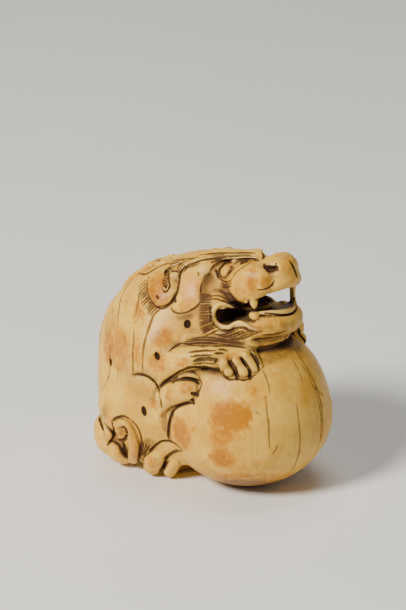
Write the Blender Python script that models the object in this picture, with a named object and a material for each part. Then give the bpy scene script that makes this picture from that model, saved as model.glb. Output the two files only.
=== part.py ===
"""Netsuke: a crouching lion-dog (shishi) hugging a large ball, carved from one piece of ivory.

The carving is set out on a drawing of its right-hand side, seen a little from the front and from above. A form is
placed by where it is seen on that drawing and by how far it lies from the lion's middle plane, or by laying it on the
surface that is already there. Forms run together as rounded solids with a fillet between them, one after another, the
way the block was roughed out; hollows are taken out last. +X is the way the lion faces, +Y its left, +Z up.
"""

import math

import bmesh
import bpy
import numpy as np

# ---------------------------------------------------------------- driving dimensions, in millimetres
UNIT = 0.16  # one drawing unit
BALL_RADIUS = 13.05
BALL_AT = (247.5, 402.0)  # the ball's centre on the drawing
DRAWING_CENTRE = (203.0, 305.0)
AZIMUTH, ELEVATION = 32.0, 20.0  # degrees: where the drawing is seen from
REACH = 488.0  # from the eye to the ball's centre plane
FOOT_LEVEL = -13.0  # the flat that the carving stands on, below the ball's centre
SPOT_RADIUS, SPOT_DEPTH = 0.38, 0.7  # the drilled spots on the coat
CORD_HOLES = ((-14.6, -2.6, 1.75), (-19.6, 2.2, 1.35))  # x, y and radius of the two cord holes underneath
GRID = 0.42  # spacing at which the form is sampled
TRIANGLES = 9000

# ---------------------------------------------------------------- the drawing
_a, _e = math.radians(AZIMUTH), math.radians(ELEVATION)
RIGHT = np.array([math.cos(_a), math.sin(_a), 0.0])
LOOK = np.array([-math.sin(_a) * math.cos(_e), math.cos(_a) * math.cos(_e), -math.sin(_e)])
UP = np.array([-math.sin(_a) * math.sin(_e), math.cos(_a) * math.sin(_e), math.cos(_e)])
EYE = (
    -RIGHT * (BALL_AT[0] - DRAWING_CENTRE[0]) * UNIT
    + UP * (BALL_AT[1] - DRAWING_CENTRE[1]) * UNIT
    - LOOK * REACH
)


def sight(x, y):
    """The direction in which drawing position x, y is seen."""
    d = LOOK * REACH + RIGHT * (x - DRAWING_CENTRE[0]) * UNIT - UP * (y - DRAWING_CENTRE[1]) * UNIT
    return d / np.linalg.norm(d)


def at(x, y, side):
    """The point seen at x, y that lies at offset side from the middle plane."""
    d = sight(x, y)
    return EYE + d * (side - EYE[1]) / d[1]


def turned(pitch=0.0, yaw=0.0, roll=0.0):
    """Axes (as rows) of a form that is pitched nose-up, yawed to its left and rolled, in degrees."""
    p, w, r = (math.radians(v) for v in (pitch, yaw, roll))
    f = np.array([math.cos(p) * math.cos(w), math.cos(p) * math.sin(w), math.sin(p)])
    s = np.array([-math.sin(w), math.cos(w), 0.0])
    u = np.cross(f, s)
    return np.array([f, s * math.cos(r) + u * math.sin(r), -s * math.sin(r) + u * math.cos(r)])


# ---------------------------------------------------------------- rounded forms as distance functions
def spline(points, each=6):
    """A smooth line through the points (rows may carry a radius too)."""
    p = np.array(points, float)
    if len(p) < 3:
        t = np.linspace(0, 1, each + 1)[:, None]
        return p[0] * (1 - t) + p[-1] * t
    q = np.vstack([2 * p[0] - p[1], p, 2 * p[-1] - p[-2]])
    out = []
    for i in range(1, len(q) - 2):
        for t in np.linspace(0, 1, each, endpoint=False):
            out.append(
                0.5
                * (
                    2 * q[i]
                    + (q[i + 1] - q[i - 1]) * t
                    + (2 * q[i - 1] - 5 * q[i] + 4 * q[i + 1] - q[i + 2]) * t * t
                    + (3 * q[i] - q[i - 1] - 3 * q[i + 1] + q[i + 2]) * t**3
                )
            )
    out.append(q[-2])
    return np.array(out)


def egg(centre, radii, axes=None):
    """An ellipsoid."""
    c, r = np.array(centre, float), np.array(radii, float)
    m = np.eye(3) if axes is None else np.array(axes, float)

    def f(p):
        q = (p - c) @ m.T
        k0 = np.sqrt(((q / r) ** 2).sum(1))
        k1 = np.sqrt(((q / (r * r)) ** 2).sum(1))
        return k0 * (k0 - 1.0) / np.maximum(k1, 1e-6)

    reach = np.sqrt(((m * r[:, None]) ** 2).sum(0))
    return f, c - reach, c + reach


def tube(points, radii, flat=1.0, across=(0, 1, 0), each=6):
    """A tapering limb along a smooth line. flat under 1 presses it thinner along the direction across."""
    line = spline(np.column_stack([np.array(points, float), np.array(radii, float)]), each)
    c, r = line[:, :3], np.maximum(line[:, 3], 0.05)
    n = np.array(across, float) / np.linalg.norm(across)

    def f(p):
        best = np.full(len(p), 1e3, p.dtype)
        for i in range(len(c) - 1):
            a, ab = c[i], c[i + 1] - c[i]
            t = np.clip((p - a) @ ab / max(ab @ ab, 1e-9), 0, 1)
            q = p - a - t[:, None] * ab
            rr = r[i] + (r[i + 1] - r[i]) * t
            if flat == 1.0:
                d = np.sqrt((q * q).sum(1)) - rr
            else:
                h = q @ n
                w2 = np.maximum((q * q).sum(1) - h * h, 0)
                d = (np.sqrt(w2 + (h / flat) ** 2) - rr) * (flat + (1 - flat) * np.sqrt(w2) / (np.sqrt(w2 + h * h) + 1e-6))
            best = np.minimum(best, d)
        return best

    return f, (c - r[:, None]).min(0), (c + r[:, None]).max(0)


def prism(outline, low, high):
    """What lies inside an outline drawn in the middle plane (x, z), from offset low to high."""
    o = np.array(outline, float)

    def f(p):
        x, z = p[:, 0], p[:, 2]
        d = np.full(len(p), 1e6, p.dtype)
        inside = np.zeros(len(p), bool)
        for i in range(len(o)):
            a, b = o[i], o[(i + 1) % len(o)]
            e = b - a
            wx, wz = x - a[0], z - a[1]
            t = np.clip((wx * e[0] + wz * e[1]) / (e @ e), 0, 1)
            d = np.minimum(d, (wx - e[0] * t) ** 2 + (wz - e[1] * t) ** 2)
            if a[1] != b[1]:
                inside ^= ((a[1] > z) != (b[1] > z)) & (x < (b[0] - a[0]) * (z - a[1]) / (b[1] - a[1]) + a[0])
        d = np.sqrt(d) * np.where(inside, -1, 1)
        return np.maximum(d, np.maximum(p[:, 1] - high, low - p[:, 1]))

    return f, np.array([o[:, 0].min(), low, o[:, 1].min()]), np.array([o[:, 0].max(), high, o[:, 1].max()])


def smooth_min(a, b, k):
    if k <= 0:
        return np.minimum(a, b)
    h = np.maximum(k - np.abs(a - b), 0)
    return np.minimum(a, b) - h * h * (0.25 / k)


class Carving:
    """The steps of the carving, in order: each adds or cuts one form."""

    def __init__(self):
        self.steps = []

    def _step(self, form, k, both, sign):
        f, low, high = form
        low, high = low - k - 0.3, high + k + 0.3
        if both:  # also on the other side of the middle plane
            low, high = np.array([low[0], min(low[1], -high[1]), low[2]]), np.array(
                [high[0], max(high[1], -low[1]), high[2]]
            )
        self.steps.append((f, low, high, k, both, sign))

    def add(self, form, fillet=0.5, both=False):
        self._step(form, fillet, both, 1)

    def cut(self, form, fillet=0.2, both=False):
        self._step(form, fillet, both, -1)

    def at(self, p, low=None, high=None):
        """Distance to the surface, negative inside. Steps that lie outside low..high are passed over."""
        p = np.asarray(p)
        v = np.full(len(p), 1e3, p.dtype)
        folded = p * np.array([1, 1, 1], p.dtype)
        folded[:, 1] = -np.abs(folded[:, 1])
        for f, lo, hi, k, both, sign in self.steps:
            if low is not None and ((hi < low).any() or (lo > high).any()):
                continue
            d = f(folded if both else p)
            v = smooth_min(v, d, k) if sign > 0 else -smooth_min(-v, d, k)
        return v

    def slope(self, p, e=0.05):
        g = np.stack([self.at(p + e * np.eye(3)[i]) - self.at(p - e * np.eye(3)[i]) for i in range(3)], 1)
        return g / np.maximum(np.linalg.norm(g, axis=1)[:, None], 1e-9)

    def surface(self, places, lift=0.0):
        """The points of the surface seen at the given drawing positions, raised by lift."""
        d = np.array([sight(x, y) for x, y in places])
        t = np.full(len(d), REACH - 40.0)
        near, best = np.full(len(d), 1e3), t.copy()
        for _ in range(90):
            v = self.at(EYE + d * t[:, None])
            closer = np.abs(v) < near - 1e-3
            near, best = np.where(closer, np.abs(v), near), np.where(closer, t, best)
            t = t + 0.6 * np.clip(v, -2, 2)
        p = EYE + d * best[:, None]
        # a sight line that goes past the form is brought on to it at its nearest
        for _ in range(12):
            v = self.at(p)
            p = p - self.slope(p) * (0.8 * v * (np.abs(v) > 0.02))[:, None]
        return p + self.slope(p) * np.broadcast_to(np.asarray(lift, float), (len(p),))[:, None]


def laid(carving, places, radii, lift, **kw):
    """A limb or lock that lies on the surface along drawing positions."""
    return tube(carving.surface(places, lift), radii, **kw)


# ---------------------------------------------------------------- the carving
def boss(carving, place, radii, lift=0.0, spin=0.0):
    """A rounded boss on the surface where the drawing shows place: radii along, up and out of the surface."""
    p = carving.surface([place], lift)
    n = carving.slope(p, 0.6)[0]
    t = RIGHT - n * (RIGHT @ n)
    t /= np.linalg.norm(t)
    u = np.cross(n, t)
    w = math.radians(spin)
    t, u = t * math.cos(w) + u * math.sin(w), u * math.cos(w) - t * math.sin(w)
    return egg(p[0], radii, np.array([t, u, n]))


def carve():
    c = Carving()
    # trunk: haunches, back, and the neck that runs into the mane
    c.add(egg((-13.3, -3.4, -2.0), (12.2, 7.4, 11.2)), 0, both=True)
    c.add(egg((-13.2, -3.2, 6.6), (12.2, 7.2, 13.2)), 4.0, both=True)
    c.add(egg((-10.4, -1.2, 14.2), (9.6, 6.6, 8.2), turned(14)), 3.0, both=True)
    # the ball, a little fuller low down than high up
    c.add(egg((0, 0, 0), (BALL_RADIUS,) * 3), 0.3)
    c.add(egg(at(247.5, 412, 0), (13.6, 13.6, 11.4)), 0.8)
    # shoulders, upper arms and forearms round the ball
    c.add(egg(at(160, 345, -6.4), (7.2, 4.4, 7.6), turned(20)), 3.0, both=True)
    elbow = at(162, 377, -9.6)
    wrist = c.surface([(216, 357)], 0.9)[0]
    c.add(tube([at(158, 350, -8.2), at(158, 364, -9.0), elbow], [4.4, 3.8, 2.0]), 2.2, both=True)
    c.add(tube([elbow, at(176, 366, -10.4), at(194, 358, -10.4), wrist], [2.0, 2.2, 2.0, 1.9]), 1.0, both=True)
    # thighs and shanks
    c.add(egg(at(126, 403, -7.0), (6.0, 4.6, 5.6), turned(-12)), 0.5, both=True)
    c.add(tube([at(140, 408, -8.6), at(152, 424, -8.8), at(156, 440, -7.6)], [3.2, 2.8, 1.9]), 1.6, both=True)
    # head: skull, muzzle, nose and jaw
    c.add(egg(at(207, 289, 0), (8.6, 6.3, 6.8), turned(14)), 1.2)
    c.add(egg((1.0, 0, 21.2), (6.6, 4.6, 3.9), turned(28)), 1.2)
    c.add(egg((5.2, 0, 24.0), (3.0, 3.2, 2.7), turned(28)), 0.6)
    c.add(egg((5.4, 0, 21.9), (3.1, 3.9, 1.9), turned(12)), 0.8)
    c.add(egg(at(246, 284, -3.7), (4.2, 2.4, 3.2), turned(34)), 0.6, both=True)
    jaw = [(-4.4, -5.8, 14.2), (-0.6, -5.6, 14.6), (3.2, -4.4, 15.1), (5.6, -2.5, 15.5), (6.2, 0, 15.6)]
    c.add(tube(jaw, [2.0, 1.9, 2.0, 2.1, 2.1]), 0.8, both=True)
    c.add(egg((1.0, 0, 14.6), (6.2, 4.6, 1.7), turned(10)), 0.6)
    c.add(egg(at(211, 314, -5.0), (4.4, 3.0, 4.8), turned(10)), 1.2, both=True)
    # the open mouth goes right through behind the lips
    mouth = [
        at(216, 312, -6), at(219, 307.5, -6), at(226, 309, -6), at(233, 311, -6), at(241, 307, -6), at(250, 301.5, -5),
        at(262, 297.5, -4), at(275, 293, -3), at(288, 289, -2), at(305, 286, 0), at(306, 308, 0),
        at(296, 308, -1), at(282, 311, -3), at(266, 313, -4), at(256, 321, -5), at(246, 321, -6), at(236, 322, -6),
        at(227, 326, -6), at(219, 322, -6),
    ]
    c.cut(prism([(p[0], p[2]) for p in mouth], -9, 9), 0.35)
    # upper fangs over lower teeth
    c.add(tube([at(252, 297, -4.4), at(253.5, 307, -4.4)], [0.95, 0.45]), 0.2, both=True)
    c.add(egg(at(254, 316, -4.6), (0.95, 0.85, 1.1)), 0.3, both=True)
    # brow, crest, ear and the locks of the mane
    c.add(tube([at(172, 256, 0), at(200, 254, 0), at(232, 253.5, 0), at(259, 253.5, 0)], [0.7, 0.9, 0.9, 0.7]), 0.6)
    c.add(laid(c, [(201, 269), (212, 266), (223, 262), (230, 263)], [0.9, 1.1, 1.0, 0.6], -0.3), 0.4, both=True)
    ear = [(199, 270), (195, 279), (190, 289), (186, 299), (181, 306)]
    c.add(laid(c, ear, [1.1, 1.9, 2.1, 2.1, 1.1], -0.5), 0.3, both=True)
    c.add(boss(c, (161, 290), (2.6, 2.9, 1.3), 0.0), 0.3, both=True)
    c.add(laid(c, [(141, 272), (150, 267), (163, 261)], [0.6, 1.1, 0.8], 0.0), 0.3, both=True)
    # forepaws on the ball
    for root, tip, r in (((222, 360), (227, 372), 1.0), ((231, 356), (241, 373), 1.05), ((241, 353), (252, 371), 1.0), ((250, 352), (259, 366), 0.8)):
        c.add(laid(c, [root, tip], [r, 0.85 * r], 0.35), 0.35, both=True)
    # the raised hind paws against the ball
    c.add(tube([at(160, 438, -7.8), at(163, 420, -9.4), at(168, 403, -10.2), at(179, 391, -10.6), *c.surface([(192, 390)], 0.3)], [1.4, 1.3, 1.5, 1.9, 1.7]), 0.5, both=True)
    # hind feet that come out underneath
    c.add(tube([at(168, 447, -7.0), at(160, 455, -7.4), at(153, 466, -7.2)], [1.2, 1.6, 1.8]), 0.3, both=True)
    c.add(tube([at(180, 455, -6.8), at(174, 464, -7.0), at(169, 471, -6.8)], [0.8, 1.1, 1.2]), 0.2, both=True)
    # tail: locks that curl up at the rump
    c.add(laid(c, [(138, 456), (138, 444), (134, 430), (125, 423), (117, 425), (117, 433)], [1.2, 1.1, 1.0, 0.85, 0.8, 0.8], 0.2), 0.3)
    c.add(laid(c, [(100, 409), (98, 420), (100, 433), (105, 438), (108, 430), (106, 424)], [0.7, 0.8, 1.1, 1.1, 0.8, 0.6], 0.0), 0.3)
    c.add(laid(c, [(112, 443), (116, 449), (121, 453)], [0.9, 0.9, 0.6], 0.1), 0.3)
    # eye sockets with the eyes in them
    c.cut(boss(c, (232, 270), (1.9, 1.1, 0.9), 0.2, 35), 0.3, both=True)
    c.add(boss(c, (229, 272), (1.2, 1.1, 0.8), -0.1), 0.2, both=True)
    # cord holes underneath, joined inside
    (x1, y1, r1), (x2, y2, r2) = CORD_HOLES
    c.cut(
        tube([(x1, y1, -15.0), (x1, y1, -11.0), ((x1 + x2) / 2, (y1 + y2) / 2, -8.6), (x2, y2, -11.0), (x2, y2, -15.0)], [r1, r1, (r1 + r2) / 2, r2, r2]),
        0.3,
    )
    return c


# ---------------------------------------------------------------- from distances to a mesh
def sampled(c, low, high, h, each=4, band=1.1):
    """The distance on a grid of spacing h, worked out finely only near the surface."""
    n = [int(math.ceil((high[i] - low[i]) / (h * each))) for i in range(3)]
    axes = [low[i] + h * each * np.arange(n[i] + 1) for i in range(3)]
    grid = np.stack(np.meshgrid(*axes, indexing="ij"), -1).reshape(-1, 3).astype(np.float32)
    rough = c.at(grid).reshape([k + 1 for k in n])
    fine = rough
    for axis in range(3):
        a = np.moveaxis(fine, axis, 0)
        t = (np.arange(each) / each).astype(np.float32).reshape(1, each, 1, 1)
        b = a[:-1, None] * (1 - t) + a[1:, None] * t
        b = np.concatenate([b.reshape(-1, *a.shape[1:]), a[-1:]])
        fine = np.moveaxis(b, 0, axis)
    fine = np.ascontiguousarray(fine)
    base, size = np.asarray(low, np.float32), max(8, int(round(4.0 / h)))
    done = np.zeros(fine.shape, bool)
    wanted = np.abs(fine) < band
    while wanted.any():
        near = np.argwhere(wanted)
        done |= wanted
        block = near // size
        key = (block[:, 0] * 4096 + block[:, 1]) * 4096 + block[:, 2]
        order = np.argsort(key, kind="stable")
        near, key = near[order], key[order]
        for i in np.split(near, np.flatnonzero(np.diff(key)) + 1):
            p = base + i.astype(np.float32) * np.float32(h)
            fine[i[:, 0], i[:, 1], i[:, 2]] = c.at(p, p.min(0), p.max(0))
        # wherever the surface runs up against values that are only rough, go on from there
        wanted = np.zeros(fine.shape, bool)
        for axis in range(3):
            f, d, w = (np.moveaxis(m, axis, 0) for m in (fine, done, wanted))
            change = ((f[:-1] < 0) != (f[1:] < 0)) | (np.minimum(np.abs(f[:-1]), np.abs(f[1:])) < h)
            w[1:] |= change & ~d[1:]
            w[:-1] |= change & ~d[:-1]
    return fine


def net(v, low, h):
    """A closed net of quads through the cells that the surface passes."""
    inside = v < 0
    corners = [(i, j, k) for i in (0, 1) for j in (0, 1) for k in (0, 1)]
    cells = tuple(s - 1 for s in v.shape)
    count = np.zeros(cells, np.int8)
    for i, j, k in corners:
        count += inside[i : i + cells[0], j : j + cells[1], k : k + cells[2]]
    active = np.argwhere((count > 0) & (count < 8))
    index = np.full(cells, -1, np.int64)
    index[tuple(active.T)] = np.arange(len(active))
    val = {q: v[tuple((active + q).T)] for q in corners}
    total, number = np.zeros((len(active), 3)), np.zeros(len(active))
    for p in corners:
        for axis in range(3):
            if p[axis]:
                continue
            q = tuple(p[a] + (a == axis) for a in range(3))
            a, b = val[p], val[q]
            m = (a < 0) != (b < 0)
            t = np.where(m, a / np.where(m, a - b, 1), 0)
            place = np.array(p, float) + np.eye(3)[axis] * t[:, None]
            total += place * m[:, None]
            number += m
    points = np.asarray(low) + (active + total / number[:, None]) * h
    faces = []
    for axis in range(3):
        u, w = (axis + 1) % 3, (axis + 2) % 3
        a = np.moveaxis(inside, (axis, u, w), (0, 1, 2))
        change = a[:-1, 1:-1, 1:-1] != a[1:, 1:-1, 1:-1]
        e = np.argwhere(change)
        first = a[:-1, 1:-1, 1:-1][change]
        idx = np.moveaxis(index, (axis, u, w), (0, 1, 2))
        s, p, q = e[:, 0], e[:, 1], e[:, 2]
        quad = np.stack([idx[s, p, q], idx[s, p + 1, q], idx[s, p + 1, q + 1], idx[s, p, q + 1]], 1)
        quad[~first] = quad[~first][:, ::-1]
        faces.append(quad)
    return points, np.concatenate(faces)


def ivory():
    material = bpy.data.materials.new("ivory")
    material.use_nodes = True
    shader = material.node_tree.nodes["Principled BSDF"]
    shader.inputs["Base Color"].default_value = (0.66, 0.47, 0.25, 1)
    shader.inputs["Roughness"].default_value = 0.38
    shader.inputs["Metallic"].default_value = 0.0
    return material


def main():
    for old in list(bpy.data.objects):
        bpy.data.objects.remove(old)
    c = carve()
    low, high = (-33.0, -17.5, -19.0), (16.0, 17.5, 30.0)
    points, faces = net(sampled(c, low, high, GRID), low, GRID)
    mesh = bpy.data.meshes.new("shishi_with_ball")
    mesh.from_pydata(points.tolist(), [], faces.tolist())
    mesh.validate()
    obj = bpy.data.objects.new("shishi_with_ball", mesh)
    bpy.context.scene.collection.objects.link(obj)
    obj.data.materials.append(ivory())
    # one clean closed skin, thinned where the form is plain
    remesh = obj.modifiers.new("skin", "REMESH")
    remesh.mode, remesh.voxel_size = "VOXEL", GRID
    thin = obj.modifiers.new("thin", "DECIMATE")
    thin.ratio = TRIANGLES / (2 * len(faces))
    solid = bpy.data.meshes.new_from_object(obj.evaluated_get(bpy.context.evaluated_depsgraph_get()))
    obj.modifiers.clear()
    obj.data = solid
    # the flat it stands on
    bm = bmesh.new()
    bm.from_mesh(solid)
    cut = bmesh.ops.bisect_plane(
        bm, geom=bm.verts[:] + bm.edges[:] + bm.faces[:], plane_co=(0, 0, FOOT_LEVEL), plane_no=(0, 0, -1), clear_outer=True, dist=1e-4
    )
    bmesh.ops.holes_fill(bm, edges=[e for e in bm.edges if e.is_boundary], sides=0)
    bmesh.ops.triangulate(bm, faces=bm.faces[:])
    bmesh.ops.recalc_face_normals(bm, faces=bm.faces[:])
    # origin at the middle of its box, on the standing flat; metres
    co = np.array([v.co for v in bm.verts])
    middle = (co.min(0) + co.max(0)) / 2
    move = np.array([-middle[0], -middle[1], -FOOT_LEVEL])
    for v in bm.verts:
        v.co = [(v.co[i] + move[i]) * 0.001 for i in range(3)]
    bm.to_mesh(solid)
    bm.free()
    print("moved by", move.round(4), "box", (co.max(0) - co.min(0)).round(2), "triangles", len(solid.polygons))
    return move


MOVED = main()
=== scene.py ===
"""Netsuke: a crouching lion-dog (shishi) hugging a large ball, carved from one piece of old ivory.

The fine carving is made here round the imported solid. The form is set out in millimetres from the ball's centre, +X the
way the lion faces, +Y its left, +Z up, on a drawing of its right-hand side seen a little from the front and from above.
Forms are added and hollows cut one after another; then hair lines, age cracks and drilled spots are laid on the surface.
"""

import math

import bmesh
import bpy
import numpy as np
from mathutils import Matrix, Vector


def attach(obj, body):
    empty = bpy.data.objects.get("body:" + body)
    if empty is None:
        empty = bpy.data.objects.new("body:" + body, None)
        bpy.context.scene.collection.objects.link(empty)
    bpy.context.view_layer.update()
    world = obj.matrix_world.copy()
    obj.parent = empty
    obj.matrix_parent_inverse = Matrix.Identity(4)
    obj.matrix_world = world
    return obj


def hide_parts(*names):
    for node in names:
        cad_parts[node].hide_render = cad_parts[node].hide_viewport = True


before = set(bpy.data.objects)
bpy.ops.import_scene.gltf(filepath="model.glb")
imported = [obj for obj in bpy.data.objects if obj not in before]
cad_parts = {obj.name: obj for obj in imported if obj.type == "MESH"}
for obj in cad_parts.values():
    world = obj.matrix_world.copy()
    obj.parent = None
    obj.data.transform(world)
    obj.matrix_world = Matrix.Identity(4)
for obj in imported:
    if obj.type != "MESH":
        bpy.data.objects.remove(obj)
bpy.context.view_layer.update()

# ---------------------------------------------------------------- sizes, in millimetres
UNIT = 0.16  # one drawing unit
BALL_RADIUS = 13.05
BALL_AT = (247.5, 402.0)
DRAWING_CENTRE = (203.0, 305.0)
AZIMUTH, ELEVATION = 32.0, 20.0
REACH = 488.0
FOOT_LEVEL = -13.0
SHIFT = np.array([6.0678, 0.0, 13.0])  # from the ball's centre to the origin of the frame
GRID = 0.12
TRIANGLES = 197000

_a, _e = math.radians(AZIMUTH), math.radians(ELEVATION)
RIGHT = np.array([math.cos(_a), math.sin(_a), 0.0])
LOOK = np.array([-math.sin(_a) * math.cos(_e), math.cos(_a) * math.cos(_e), -math.sin(_e)])
UP = np.array([-math.sin(_a) * math.sin(_e), math.cos(_a) * math.sin(_e), math.cos(_e)])
EYE = (
    -RIGHT * (BALL_AT[0] - DRAWING_CENTRE[0]) * UNIT
    + UP * (BALL_AT[1] - DRAWING_CENTRE[1]) * UNIT
    - LOOK * REACH
)
rng = np.random.default_rng(20)


def sight(x, y):
    """The direction in which drawing position x, y is seen."""
    d = LOOK * REACH + RIGHT * (x - DRAWING_CENTRE[0]) * UNIT - UP * (y - DRAWING_CENTRE[1]) * UNIT
    return d / np.linalg.norm(d)


def at(x, y, side):
    """The point seen at x, y that lies at offset side from the middle plane."""
    d = sight(x, y)
    return EYE + d * (side - EYE[1]) / d[1]


def turned(pitch=0.0, yaw=0.0, roll=0.0):
    """Axes (as rows) of a form that is pitched nose-up, yawed to its left and rolled, in degrees."""
    p, w, r = (math.radians(v) for v in (pitch, yaw, roll))
    f = np.array([math.cos(p) * math.cos(w), math.cos(p) * math.sin(w), math.sin(p)])
    s = np.array([-math.sin(w), math.cos(w), 0.0])
    u = np.cross(f, s)
    return np.array([f, s * math.cos(r) + u * math.sin(r), -s * math.sin(r) + u * math.cos(r)])


# ---------------------------------------------------------------- rounded forms as distance functions
def spline(points, each=6):
    """A smooth line through the points (rows may carry a radius too)."""
    p = np.array(points, float)
    if len(p) < 3:
        t = np.linspace(0, 1, max(each, 1) + 1)[:, None]
        return p[0] * (1 - t) + p[-1] * t
    q = np.vstack([2 * p[0] - p[1], p, 2 * p[-1] - p[-2]])
    out = []
    for i in range(1, len(q) - 2):
        for t in np.linspace(0, 1, each, endpoint=False):
            out.append(
                0.5
                * (
                    2 * q[i]
                    + (q[i + 1] - q[i - 1]) * t
                    + (2 * q[i - 1] - 5 * q[i] + 4 * q[i + 1] - q[i + 2]) * t * t
                    + (3 * q[i] - q[i - 1] - 3 * q[i + 1] + q[i + 2]) * t**3
                )
            )
    out.append(q[-2])
    return np.array(out)


def egg(centre, radii, axes=None):
    """An ellipsoid."""
    c, r = np.array(centre, np.float32), np.array(radii, np.float32)
    m = np.eye(3, dtype=np.float32) if axes is None else np.array(axes, np.float32)

    def f(p):
        q = (p - c) @ m.T
        k0 = np.sqrt(((q / r) ** 2).sum(1))
        k1 = np.sqrt(((q / (r * r)) ** 2).sum(1))
        return k0 * (k0 - 1.0) / np.maximum(k1, 1e-6)

    reach = np.sqrt(((m * r[:, None]) ** 2).sum(0))
    return f, c - reach, c + reach


def segments(c):
    """What every distance to a line of short segments needs: the squared distance of each point to each segment's
    nearest place, and how far along the segment that place lies."""
    shift = c.mean(0)
    a, ab = c[:-1] - shift, c[1:] - c[:-1]
    ab2 = np.maximum((ab * ab).sum(1), 1e-9)
    a_ab, a2 = (a * ab).sum(1), (a * a).sum(1)

    def near(p):
        q = p - shift
        w = q @ ab.T - a_ab
        t = np.clip(w / ab2, 0, 1)
        d2 = (q * q).sum(1)[:, None] - 2 * (q @ a.T) + a2 - 2 * t * w + t * t * ab2
        return q, t, np.maximum(d2, 0)

    return near, a, ab


def tube(points, radii, flat=1.0, across=(0, 1, 0), each=6):
    """A tapering limb along a smooth line. flat under 1 presses it thinner along the direction across."""
    line = spline(np.column_stack([np.array(points, float), np.array(radii, float)]), each).astype(np.float32)
    c, r = line[:, :3], np.maximum(line[:, 3], 0.02)
    n = (np.array(across, float) / np.linalg.norm(across)).astype(np.float32)
    near, a, ab = segments(c)
    r0, dr = r[:-1], r[1:] - r[:-1]
    a_n, ab_n = a @ n, ab @ n

    def f(p):
        q, t, d2 = near(p)
        rr = r0 + dr * t
        if flat == 1.0:
            return (np.sqrt(d2) - rr).min(1)
        h2 = ((q @ n)[:, None] - a_n - t * ab_n) ** 2
        w2 = np.maximum(d2 - h2, 0)
        w = np.sqrt(w2)
        d = (np.sqrt(w2 + h2 / flat**2) - rr) * (flat + (1 - flat) * w / (np.sqrt(d2) + 1e-6))
        return d.min(1)

    return f, (c - r[:, None]).min(0), (c + r[:, None]).max(0)


def ribbon(points, widths, heights, normals, each=6):
    """A lock or lid: a tapering strip with a rounded section, heights along the normals and widths across them."""
    count = len(points)
    rows = np.column_stack([points, np.broadcast_to(widths, (count,)), np.broadcast_to(heights, (count,)), normals])
    line = spline(rows, each).astype(np.float32)
    c, w, h, n = line[:, :3], np.maximum(line[:, 3], 0.03), np.maximum(line[:, 4], 0.03), line[:, 5:8]
    n = n / np.linalg.norm(n, axis=1)[:, None]
    near, a, ab = segments(c)
    w0, dw, h0, dh, n0 = w[:-1], w[1:] - w[:-1], h[:-1], h[1:] - h[:-1], n[:-1]
    a_n, ab_n = (a * n0).sum(1), (ab * n0).sum(1)

    def f(p):
        q, t, d2 = near(p)
        ww, hh = w0 + dw * t, h0 + dh * t
        up2 = (q @ n0.T - a_n - t * ab_n) ** 2
        side2 = np.maximum(d2 - up2, 0)
        k0 = np.sqrt(side2 / ww**2 + up2 / hh**2)
        k1 = np.sqrt(side2 / ww**4 + up2 / hh**4)
        d = np.where(k0 < 1e-3, -np.minimum(ww, hh), k0 * (k0 - 1) / np.maximum(k1, 1e-6))
        return d.min(1)

    big = np.maximum(w, h)[:, None]
    return f, (c - big).min(0), (c + big).max(0)


def prism(outline, low, high):
    """What lies inside an outline drawn in the middle plane (x, z), from offset low to high."""
    o = np.array(outline, np.float32)

    def f(p):
        x, z = p[:, 0], p[:, 2]
        d = np.full(len(p), 1e6, p.dtype)
        inside = np.zeros(len(p), bool)
        for i in range(len(o)):
            a, b = o[i], o[(i + 1) % len(o)]
            e = b - a
            wx, wz = x - a[0], z - a[1]
            t = np.clip((wx * e[0] + wz * e[1]) / (e @ e), 0, 1)
            d = np.minimum(d, (wx - e[0] * t) ** 2 + (wz - e[1] * t) ** 2)
            if a[1] != b[1]:
                inside ^= ((a[1] > z) != (b[1] > z)) & (x < (b[0] - a[0]) * (z - a[1]) / (b[1] - a[1]) + a[0])
        d = np.sqrt(d) * np.where(inside, -1, 1)
        return np.maximum(d, np.maximum(p[:, 1] - high, low - p[:, 1])).astype(p.dtype)

    return f, np.array([o[:, 0].min(), low, o[:, 1].min()]), np.array([o[:, 0].max(), high, o[:, 1].max()])


def smooth_min(a, b, k):
    if k <= 0:
        return np.minimum(a, b)
    h = np.maximum(k - np.abs(a - b), 0)
    return np.minimum(a, b) - h * h * np.float32(0.25 / k)


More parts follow.
